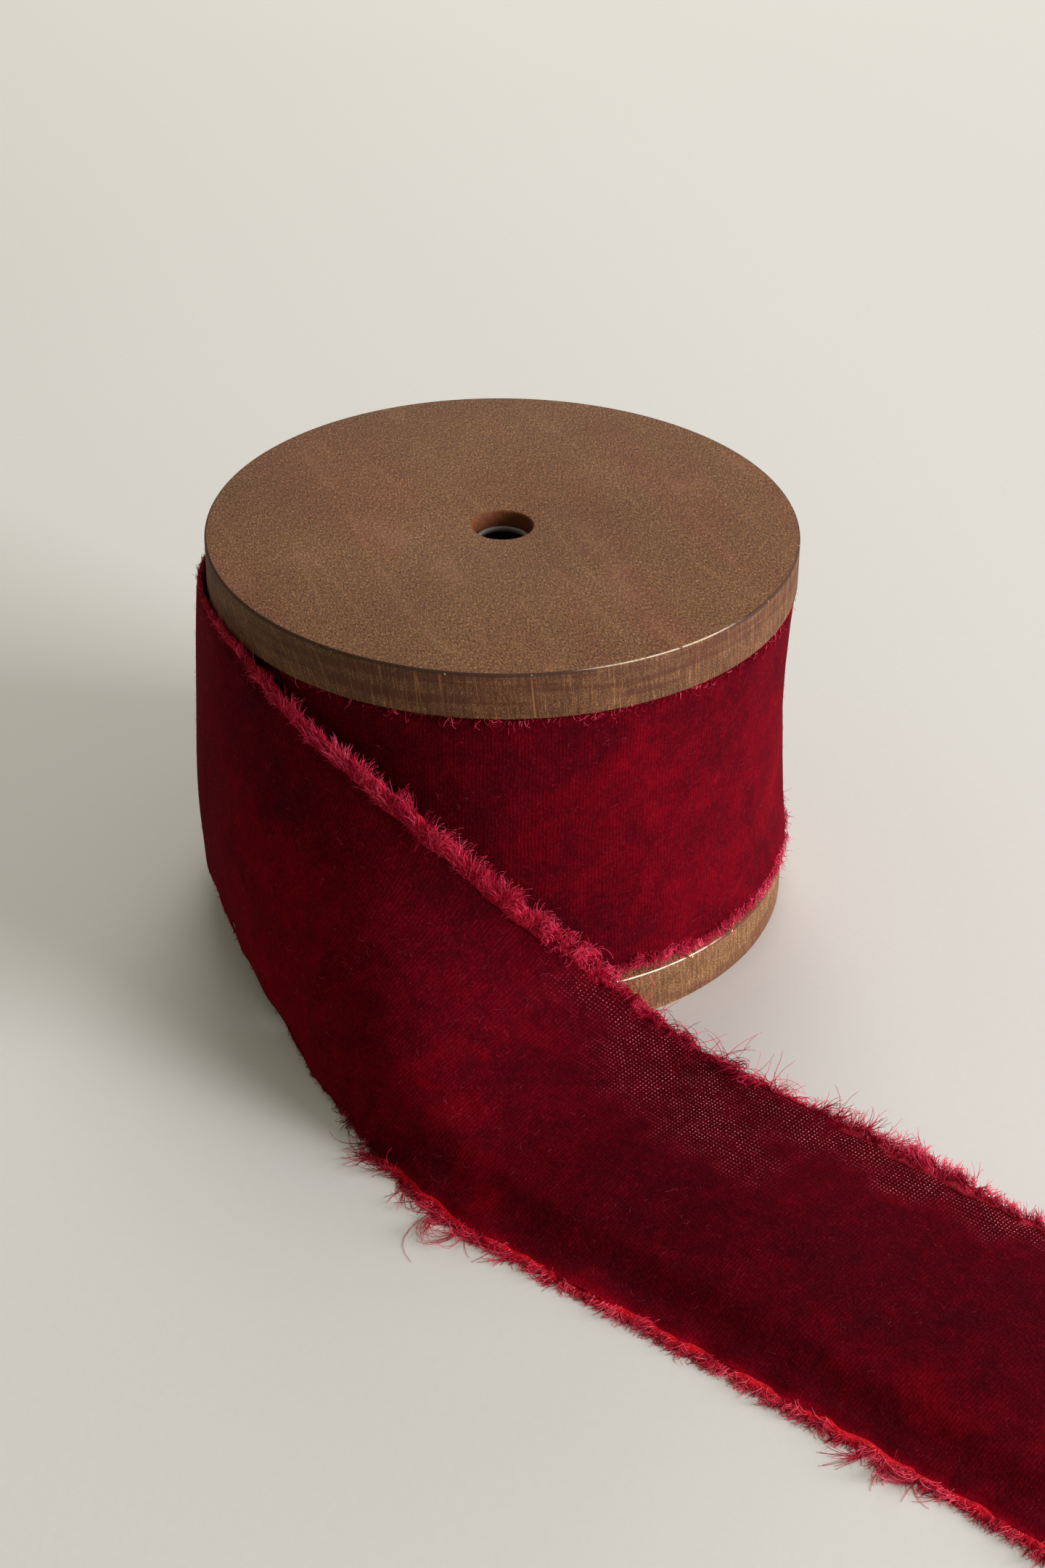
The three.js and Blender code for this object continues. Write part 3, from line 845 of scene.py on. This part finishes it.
def run_length():
    """Stations along the loose ribbon and how far each lies along it, in millimetres"""
    stations = np.linspace(0, LAST, 600)
    middle = ribbon(stations, np.full(len(stations), 0.5))[0]
    steps = np.linalg.norm(np.diff(middle, axis=0), axis=1)
    start = math.radians(WOUND_ANGLES[0]) * RUN_RADIUS
    return stations, start + np.concatenate([[0], np.cumsum(steps)]) / MM


STATIONS, LENGTHS = run_length()


def creases(station, across):
    """Shallow troughs and ridges that keep the cloth from lying perfectly even"""
    length = np.interp(station, STATIONS, LENGTHS)
    width = across * RIBBON_WIDTH / MM
    loose = np.clip((station - FIRST - 2) / 3, 0, 1)
    height = 0.16 * np.sin(length * 0.21 + width * 0.11)
    height += 0.12 * np.sin(length * 0.37 - width * 0.19 + 1.3)
    edge = np.clip(np.abs(across - 0.5) * 2 - 0.7, 0, 1) / 0.3
    height += 0.22 * edge * np.sin(length * 0.55 + 2.0 * np.sin(length * 0.13))
    return height * MM * loose


def along_ribbon(part):
    """Section number at a share of the loose ribbon's length"""
    return np.interp(part, (LENGTHS - LENGTHS[0]) / (LENGTHS[-1] - LENGTHS[0]), STATIONS)


def loose_side(u, v, side):
    """Points of the loose ribbon's upper face, where side is 1, or of its back, where it is -1"""
    station = along_ribbon(u)
    middle, _, _, face = ribbon(station, v)
    depth = cloth_depth(v)
    raised = creases(station, v) + side * depth / 2
    points = middle + face * raised[:, None] + np.array(AXIS)
    points[:, 2] = np.maximum(points[:, 2], depth * 0.8 if side > 0 else 0.0)
    return points


def add_loose_ribbon(material):
    def texture(u, v):
        length = LENGTHS[0] + (LENGTHS[-1] - LENGTHS[0]) * u
        return np.stack([length, v * RIBBON_WIDTH / MM], axis=1)

    def values(u, v):
        run, across = texture(u, v).T
        station = along_ribbon(u) - FIRST
        width = RIBBON_WIDTH / MM
        # Lighter red along both edges: partly matted fibres, partly painted light where the flattened
        # lower edge on the table catches the light
        low = np.clip((1.5 - across) / 1.5, 0, 1) * np.clip((station - 9.6) / 1.0, 0, 1) * 0.85
        high = np.clip((across - width + 0.9) / 0.9, 0, 1) * 0.12
        return {
            "nap": 0.362 + patch_sum(NAP_AND_LIGHT_LOOSE, run, across),
            "thin": np.clip(patch_sum(THIN_SPOTS, run, across), 0, 1),
            "rim": np.maximum(low, high),
            "u": u,
            "v": v,
        }

    def place(u, v):
        return loose_side(u, v, 1)

    shape = mapped_grid(340, 64, place, texture, values)
    bmesh.ops.recalc_face_normals(shape, faces=shape.faces)
    upper = set(shape.verts)
    above = sum(face.normal.z for face in shape.faces)
    inward = CLOTH_THICKNESS if above > 0 else -CLOTH_THICKNESS
    bmesh.ops.solidify(shape, geom=shape.faces[:], thickness=inward)
    marks = [shape.verts.layers.float[key] for key in ("u", "v")]
    back = [vert for vert in shape.verts if vert not in upper]
    u, v = np.array([[vert[mark] for mark in marks] for vert in back]).T
    for vert, point in zip(back, loose_side(u, v, -1)):
        vert.co = point
    for key in ("u", "v"):
        shape.verts.layers.float.remove(shape.verts.layers.float[key])
    cloth = as_object("ribbon_loose", mesh_from(shape, "ribbon_loose"), material)
    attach(cloth, "root")
    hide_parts("ribbon_tail")
    return cloth


class Threads:
    """Many thin curling threads, gathered and then joined into one mesh"""

    def __init__(self, name, seed):
        self.name = name
        self.random = np.random.default_rng(seed)
        self.paths = []
        self.shades = []

    def grow(self, roots, heading, axis, length, curl, steps, shade, wander):
        """Each thread starts at its root in its heading and turns about its axis by curl in all,
        in radians, with a little wander at each step."""
        count = len(roots)
        stride = (length / steps)[:, None]
        point = roots.copy()
        going = unit(heading)
        axis = unit(axis)
        path = [point.copy()]
        for _ in range(steps):
            turn = (curl / steps)[:, None]
            going = going * np.cos(turn) + np.cross(axis, going) * np.sin(turn)
            going = unit(going + self.random.normal(0, wander, (count, 3)) * 0.5)
            axis = unit(axis + self.random.normal(0, wander, (count, 3)) * 0.5)
            point = point + going * stride
            point[:, 2] = np.maximum(point[:, 2], THREAD_RADIUS * 1.2)
            path.append(point.copy())
        self.paths.append(np.stack(path, axis=1))
        self.shades.append(shade)

    def tufts(self, place, pitch):
        """The number of the tuft that each thread belongs to, from its place along an edge"""
        spread = self.random.normal(0, 0.18, len(place))
        tuft = np.floor(place / pitch + spread).astype(int)
        return tuft - tuft.min()

    def swirl(self, roots, run, out, face, length, tuft, comb, curl, shade):
        """Threads that lie along an edge, each tuft combed and curled its own way"""
        random = self.random
        count = len(roots)
        tufts = tuft.max() + 1
        comb = comb + random.normal(0, 24, tufts)[tuft] + random.normal(0, 15, count)
        comb = np.radians(comb)
        heading = run * np.cos(comb)[:, None] + out * np.sin(comb)[:, None]
        heading = heading + face * random.normal(0.08, 0.22, (count, 1))
        curl = curl * random.choice([-1, 1], tufts)[tuft] * random.uniform(0.3, 1, count)
        tip = run * random.normal(0, 0.35, (count, 1)) + out * random.normal(0, 0.35, (count, 1))
        level = shade + random.normal(0, 0.17, tufts)[tuft] + random.normal(0, 0.26, count)
        self.grow(roots, heading, face + tip, length, curl, 5, np.clip(level, 0, 1), 0.14)

    def build(self, material, radius=THREAD_RADIUS):
        vertices = []
        faces = []
        shades = []
        start = 0
        for path, shade in zip(self.paths, self.shades):
            count, knots, _ = path.shape
            going = unit(np.gradient(path, axis=1))
            side = self.random.normal(0, 1, (count, 1, 3)) + np.zeros_like(path)
            side = unit(side - going * (side * going).sum(axis=2, keepdims=True))
            other = np.cross(going, side)
            taper = np.linspace(1, 0.45, knots)[None, :, None] * radius
            rings = []
            for third in range(3):
                turn = TURN * third / 3
                ring = path + (side * math.cos(turn) + other * math.sin(turn)) * taper
                ring[:, :, 2] = np.maximum(ring[:, :, 2], 0)
                rings.append(ring)
            vertices.append(np.stack(rings, axis=2).reshape(-1, 3))
            index = start + np.arange(count * knots * 3).reshape(count, knots, 3)
            near = index[:, :-1]
            far = index[:, 1:]
            for third in range(3):
                after = (third + 1) % 3
                corners = (near[:, :, third], near[:, :, after], far[:, :, after], far[:, :, third])
                faces.extend(np.stack(corners, axis=-1).reshape(-1, 4).tolist())
            faces.extend(index[:, 0, ::-1].tolist())
            faces.extend(index[:, -1, :].tolist())
            along = np.linspace(-0.08, 0.12, knots)[None, :, None]
            level = np.clip(shade[:, None, None] + along + np.zeros((1, 1, 3)), 0, 1)
            shades.append(level.reshape(-1))
            start += count * knots * 3
        mesh = bpy.data.meshes.new(self.name)
        mesh.from_pydata(np.concatenate(vertices).tolist(), [], faces)
        attribute = mesh.attributes.new("shade", "FLOAT", "POINT")
        attribute.data.foreach_set("value", np.concatenate(shades))
        mesh.shade_smooth()
        return as_object(self.name, mesh, material)


def table_value(rows, key, station):
    """A column of a fray table at the given sections"""
    column = FRAY_COLUMNS.index(key)
    return np.interp(station, [row[0] for row in rows], [row[column] for row in rows])


def run_at(station):
    """How far a station lies along the ribbon, in millimetres"""
    return np.interp(station, STATIONS, LENGTHS)


def ribbon_edge(station, upper):
    """Spots on an edge of the loose ribbon, with the directions along it, outwards and off the
    cloth's face"""
    middle, run, width, face = ribbon(station, np.full(len(station), 1.0 if upper else 0.0))
    return middle, run, width if upper else -width, face


def edge_roots(edge, aside, rise):
    """Threads' roots, so many millimetres outwards from an edge and off its face"""
    middle, _, out, face = edge
    roots = middle + out * (aside * MM)[:, None] + face * (rise * MM)[:, None] + np.array(AXIS)
    roots[:, 2] = np.maximum(roots[:, 2], THREAD_RADIUS)
    return roots


def as_fray(piece):
    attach(piece, "root")
    return piece


def edge_band(name, upper, height, material, seed):
    """The felted threads along one edge of the loose ribbon: a low lumpy strip"""
    random = np.random.default_rng(seed)
    rows = FRAY_UPPER if upper else FRAY_LOWER
    first = FIRST + rows[0][0]
    lumps = random.uniform(0.5, 1.15, LUMPS)
    hollows = random.uniform(0.4, 1.2, LUMPS)

    def lumpy(table, where):
        index = np.floor(where).astype(int) % (LUMPS - 1)
        part = eased(where - np.floor(where))
        return table[index] * (1 - part) + table[index + 1] * part

    def place(u, v):
        station = first + (LAST - first) * u
        middle, _, out, face = ribbon_edge(station, upper)
        distance = run_at(station)
        turn = TURN * v
        band = table_value(rows, "band", station - FIRST) * MM
        outer = np.cos(turn) > 0
        lump = np.where(outer, lumpy(lumps, distance / 0.8), 1.0)
        overlap = np.minimum(0.5 * MM, band * 0.7)
        half = (band + overlap) / 2
        ripple = lumpy(hollows, distance / 0.7 + np.sin(turn) * 2.0)
        thick = np.minimum(half * 0.6, height) * ripple + 0.08 * MM
        centre = middle + out * (half - overlap)[:, None]
        point = centre + out * (half * np.cos(turn) * lump)[:, None]
        point = point + face * (thick * np.sin(turn))[:, None] + np.array(AXIS)
        point[:, 2] = np.maximum(point[:, 2], 0.0)
        return point

    def texture(u, v):
        station = first + (LAST - first) * u
        return np.stack([run_at(station), v * 5.0], axis=1)

    def values(u, v):
        station = first + (LAST - first) * u
        return {"shade": table_value(rows, "shade", station - FIRST)}

    shape = mapped_grid(700, 12, place, texture, values)
    bmesh.ops.remove_doubles(shape, verts=shape.verts, dist=1e-7)
    bmesh.ops.holes_fill(shape, edges=[edge for edge in shape.edges if edge.is_boundary])
    return as_fray(as_object(name, mesh_from(shape, name, 80), material))


def edge_spots(random, rows, key, upper, span):
    """Random stations along one edge of the loose ribbon, as dense as a column of its table says,
    and how far each lies along the edge, in millimetres"""
    stations = np.linspace(FIRST + span[0], FIRST + span[1], 1200)
    edge = ribbon_edge(stations, upper)[0]
    steps = np.linalg.norm(np.diff(edge, axis=0), axis=1)
    along = np.concatenate([[0], np.cumsum(steps)]) / MM
    density = table_value(rows, key, stations[1:] - FIRST) * steps / MM
    total = np.concatenate([[0], np.cumsum(density)])
    place = np.interp(random.uniform(0, total[-1], int(total[-1])), total, along)
    return place, np.interp(place, along, stations)


def edge_fray(name, upper, span, height, thick, material, seed):
    """Threads along one edge of the loose ribbon: short ones that lie in the mat, and loose ones
    that stand out of it in uneven tufts. span is the first and the last section, height how far
    the mat rises and thick a thread's radius."""
    threads = Threads(name, seed)
    random = threads.random
    rows = FRAY_UPPER if upper else FRAY_LOWER

    place, station = edge_spots(random, rows, "wool", upper, span)
    count = len(place)
    section = station - FIRST
    tuft = threads.tufts(place, 0.9)
    edge = ribbon_edge(station, upper)
    band = table_value(rows, "band", section)
    share = random.uniform(0, 1, count)
    aside = -0.2 + share * (band + 0.1)
    dome = np.sqrt(np.clip(1 - (2 * share - 1) ** 2, 0, 1)) * np.minimum(band * 0.6, height / MM)
    rise = dome * random.uniform(0.3, 1.15, count) + 0.1
    roots = edge_roots(edge, aside, rise)
    length = random.uniform(0.8, 1.5, count) * (0.5 + band * 0.55) * MM
    shade = table_value(rows, "shade", section) + (share - 0.5) * 0.16
    comb = table_value(rows, "comb", section)
    curl = table_value(rows, "curl", section) * 0.6
    threads.swirl(roots, *edge[1:], length, tuft, comb, curl, shade)

    place, station = edge_spots(random, rows, "loose", upper, span)
    count = len(place)
    pitch = 1.25
    tuft = threads.tufts(place, pitch)
    tufts = tuft.max() + 1
    section = station - FIRST
    longer = np.clip(random.lognormal(-0.1, 0.4, tufts), 0.4, 1.8)[tuft]
    lean = table_value(rows, "lean", section) + random.normal(0, 0.4, tufts)[tuft]
    lean = lean + random.normal(0, 0.16, count)
    lift = table_value(rows, "lift", section) + random.normal(0, 12, tufts)[tuft]
    lift = np.radians(lift + random.normal(0, 9, count))
    turning = (random.choice([-1, 1], tufts) * random.uniform(0.6, 1.2, tufts))[tuft]
    frizz = random.uniform(0, 1, count) < 0.22
    turning = np.where(frizz, random.uniform(-1.3, 1.3, count), turning)
    curl = table_value(rows, "curl", section) * turning * random.uniform(0.75, 1.15, count)
    centre = (tuft - tuft.min() + 0.5) * pitch
    drawn = np.clip((centre - place) / pitch, -1, 1) * table_value(rows, "gather", section)
    band = table_value(rows, "band", section)
    aside = -0.35 + random.uniform(0, 1, count) ** 0.6 * (band + 0.1)
    edge = ribbon_edge(station, upper)
    _, run, out, face = edge
    rise = random.uniform(-0.2, 1.0, count) * np.minimum(0.2 + band * 0.25, height / MM)
    roots = edge_roots(edge, aside, rise)
    heading = out * np.cos(lift)[:, None] + face * np.sin(lift)[:, None]
    heading = heading + run * (lean + drawn * 0.9)[:, None]
    length = table_value(rows, "reach", section) * longer * random.uniform(0.25, 1.15, count)
    length = np.maximum(length - aside * 0.4, 0.5)
    strays = random.uniform(0, 1, count) < 0.04
    length = np.where(strays, length * 1.4, length) * MM
    bends = [random.normal(0, 1, tufts)[tuft] + random.normal(0, 0.25, count) for _ in range(3)]
    axis = run * bends[0][:, None] + face * bends[1][:, None] * 1.4 + out * bends[2][:, None] * 0.35
    shade = table_value(rows, "shade", section) + random.normal(0, 0.12, tufts)[tuft]
    shade = np.clip(shade + random.normal(0, 0.17, count), 0, 1)
    threads.grow(roots, heading, axis, length, curl, 7, shade, 0.16)
    return as_fray(threads.build(material, thick))


def on_roll(degrees, level, raised=0.0):
    """Spots on the wound ribbon at given angles and heights, raised off it, with the directions
    outwards, along its run and up"""
    turn = np.radians(degrees)
    still = np.zeros(len(degrees))
    out = np.stack([np.cos(turn), np.sin(turn), still], axis=1)
    run = np.stack([-np.sin(turn), np.cos(turn), still], axis=1)
    up = np.stack([still, still, still + 1], axis=1)
    radius = roll_radius(degrees, level) + raised
    return np.array(AXIS) + out * radius[:, None] + up * level[:, None], out, run, up


def around_roll(random, count, height, spread):
    """Spots round the wound ribbon, most of them on the side that the camera and light face"""
    degrees = random.normal(FRAY_FACING, FRAY_ROUND, count)
    turn = np.radians(degrees)
    uneven = 0.35 * np.sin(turn * 17) + 0.25 * np.sin(turn * 41 + 1)
    level = (height + (random.uniform(-1, 1, count) + uneven) * spread) * MM
    return degrees, *on_roll(degrees, level)


def roll_fray(name, height, spread, drop, counts, length, material, seed):
    """Threads between a disc and the edge of the wound ribbon: a mat of short ones, and loose ones
    that stand out in tufts. counts says how many there are of each."""
    threads = Threads(name, seed)
    random = threads.random
    degrees, roots, out, run, up = around_roll(random, counts[0], height, spread)
    lies = random.uniform(-0.15, 0.55, (counts[0], 1)) * MM
    tuft = threads.tufts(np.radians(degrees) * RUN_RADIUS, 1.0)
    reach = random.uniform(0.8, 1.7, counts[0]) * MM
    shade = np.full(counts[0], 0.46)
    threads.swirl(roots + out * lies, run, -up, out, reach, tuft, 130, 2.4, shade)

    degrees, roots, out, run, up = around_roll(random, counts[1], height, spread)
    count = counts[1]
    tuft = threads.tufts(np.radians(degrees) * RUN_RADIUS, 1.3)
    tufts = tuft.max() + 1
    longer = np.clip(random.lognormal(-0.1, 0.45, tufts), 0.35, 2.2)[tuft]
    lean = (random.normal(0, 0.6, tufts)[tuft] + random.normal(0, 0.25, count))[:, None]
    heading = out * 0.8 - up * random.normal(drop, 0.3, (count, 1)) + run * lean
    reach = length * MM * longer * random.uniform(0.6, 1.1, count)
    curl = random.uniform(0.6, 2.4, count) * random.choice([-1, 1], tufts)[tuft]
    axis = run * random.normal(0, 1, (count, 1)) + up * random.normal(0, 1, (count, 1))
    shade = random.normal(0.42, 0.10, tufts)[tuft] + random.normal(0, 0.16, count)
    threads.grow(roots - out * 0.2 * MM, heading, axis, reach, curl, 6, np.clip(shade, 0, 1), 0.18)
    as_fray(threads.build(material))


def lay_hairs(threads, roots, run, aside, face, lift, longest):
    """Short curling hairs that lie every way on a surface"""
    random = threads.random
    count = len(roots)
    heading = run * random.normal(0, 1, (count, 1)) + aside * random.normal(0, 1, (count, 1))
    length = random.uniform(0.3, longest, count) * MM
    curl = random.uniform(-2.5, 2.5, count)
    shade = random.uniform(0.2, 0.9, count)
    threads.grow(roots, heading + face * lift, face, length, curl, 4, shade, 0.15)


def add_lint(material):
    """Short pale hairs lying on the pile"""
    threads = Threads("lint_hairs", 77)
    random = threads.random
    count = 600
    degrees = random.uniform(LEAVE_ANGLE - 355, LEAVE_ANGLE - 10, count)
    level = random.uniform(9, 44, count) * MM
    roots, out, run, up = on_roll(degrees, level, 0.05 * MM)
    lay_hairs(threads, roots, run, up, out, 0.25, 1.3)

    count = 900
    station = random.uniform(FIRST + 2.5, LAST - 0.05, count)
    across = random.uniform(0.05, 0.95, count)
    middle, run, width, face = ribbon(station, across)
    roots = middle + np.array(AXIS) + face * (CLOTH_THICKNESS / 2 + 0.05 * MM)
    lay_hairs(threads, roots, run, width, face, 0.2, 1.2)
    as_fray(threads.build(material, 0.014 * MM))


def add_camera():
    data = bpy.data.cameras.new("camera")
    data.sensor_fit = "AUTO"
    data.sensor_width = SENSOR
    data.lens = SENSOR * FOCAL_PIXELS / PHOTO_HEIGHT
    data.clip_start = 0.01
    data.clip_end = 10
    forward = Vector(
        (
            math.sin(CAMERA_YAW) * math.cos(CAMERA_PITCH),
            math.cos(CAMERA_YAW) * math.cos(CAMERA_PITCH),
            -math.sin(CAMERA_PITCH),
        )
    )
    right = forward.cross(Vector((0, 0, 1))).normalized()
    up = right.cross(forward)
    rolled_right = right * math.cos(CAMERA_ROLL) + up * math.sin(CAMERA_ROLL)
    rolled_up = up * math.cos(CAMERA_ROLL) - right * math.sin(CAMERA_ROLL)
    place = Matrix((rolled_right, rolled_up, -forward)).transposed().to_4x4()
    place.translation = AXIS + Vector((0, -CAMERA_BACK, CAMERA_UP))
    camera = bpy.data.objects.new("camera", data)
    camera.matrix_world = place
    bpy.context.scene.collection.objects.link(camera)
    bpy.context.scene.camera = camera


def add_area_light(name, azimuth, elevation, distance, size, power, colour):
    """A square light that faces the spool from a direction in degrees"""
    data = bpy.data.lights.new(name, "AREA")
    data.shape = "SQUARE"
    data.size = size
    data.energy = power
    data.color = colour
    turn = math.radians(azimuth)
    rise = math.radians(elevation)
    away = Vector(
        (math.cos(turn) * math.cos(rise), math.sin(turn) * math.cos(rise), math.sin(rise))
    )
    light = bpy.data.objects.new(name, data)
    light.location = AXIS + away * distance
    light.rotation_euler = away.to_track_quat("Z", "Y").to_euler()
    bpy.context.scene.collection.objects.link(light)


def add_stage():
    shape = bmesh.new()
    bmesh.ops.create_grid(shape, x_segments=2, y_segments=2, size=2.5)
    mesh = bpy.data.meshes.new("table")
    shape.to_mesh(mesh)
    shape.free()
    floor = as_object("table", mesh, table_top())
    world = bpy.data.worlds.new("studio")
    world.use_nodes = True
    background = world.node_tree.nodes["Background"]
    background.inputs["Color"].default_value = (1.0, 0.985, 0.79, 1)
    background.inputs["Strength"].default_value = 0.27
    bpy.context.scene.world = world
    add_area_light("window_right", -20, 15, 1.0, 0.5, 16.3, (0.96, 0.94, 1.0))
    add_area_light("window_back", 88, 25, 1.1, 0.55, 2.8, (1.0, 0.98, 0.96))
    add_area_light("ceiling", 85, 60, 1.1, 0.55, 2.8, (1.0, 0.98, 0.96))
    bpy.context.scene.view_settings.view_transform = "Standard"


def main():
    add_camera()
    add_discs()
    add_core()
    velvet_finish = velvet()
    add_roll(velvet_finish)
    cloth = add_loose_ribbon(velvet_finish)
    # pinks and reds are raised above the threads' own colour as painted light, for threads lit from
    # behind that glow through
    pinks = ((0.15, 0.001, 0.010), (0.62, 0.003, 0.040), (0.96, 0.105, 0.210))
    reds = ((0.100, 0.002, 0.010), (0.58, 0.006, 0.032), (0.98, 0.130, 0.210))
    pink_mat = ((0.12, 0.001, 0.005), (0.44, 0.004, 0.020), (0.85, 0.060, 0.120))
    red_mat = ((0.16, 0.001, 0.004), (0.66, 0.004, 0.013), (0.95, 0.040, 0.060))
    lints = ((0.13, 0.004, 0.014), (0.28, 0.020, 0.045), (0.55, 0.100, 0.150))
    pink_thread = frayed_thread("thread_pink", *pinks)
    red_thread = frayed_thread("thread_red", *reds)
    last = len(SECTIONS) - 1
    side_span = (FRAY_START, FRAY_PARTING)
    flat_span = (FRAY_PARTING, last)
    whole_span = (FRAY_START, last)
    side = edge_fray(
        "fray_upper_side_threads", True, side_span, 0.75 * MM, 0.036 * MM, pink_thread, 11
    )
    flat = edge_fray(
        "fray_upper_flat_threads", True, flat_span, 0.75 * MM, 0.055 * MM, pink_thread, 12
    )
    lower = edge_fray(
        "fray_lower_threads", False, whole_span, 0.4 * MM, 0.05 * MM, red_thread, 13
    )
    pink_matted = matted_thread("mat_pink", *pink_mat)
    high_band = edge_band("fray_upper_mat", True, 0.45 * MM, pink_matted, 14)
    red_matted = matted_thread("mat_red", *red_mat)
    low_band = edge_band("fray_lower_mat", False, 0.34 * MM, red_matted, 15)
    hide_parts("fray_upper_side", "fray_upper_fall")
    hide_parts("fray_upper_turn", "fray_upper_flat")
    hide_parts(*[f"fray_lower_{part}" for part in ("side", "fall", "turn", "flat")])
    roll_fray("roll_fray_low", 8.3, 1.05, 0.55, (4500, 850), 1.7, pink_thread, 21)
    roll_fray("roll_fray_high", 46.15, 0.3, 0.35, (1200, 200), 0.9, red_thread, 22)
    add_lint(frayed_thread("thread_lint", *lints))
    add_stage()


main()
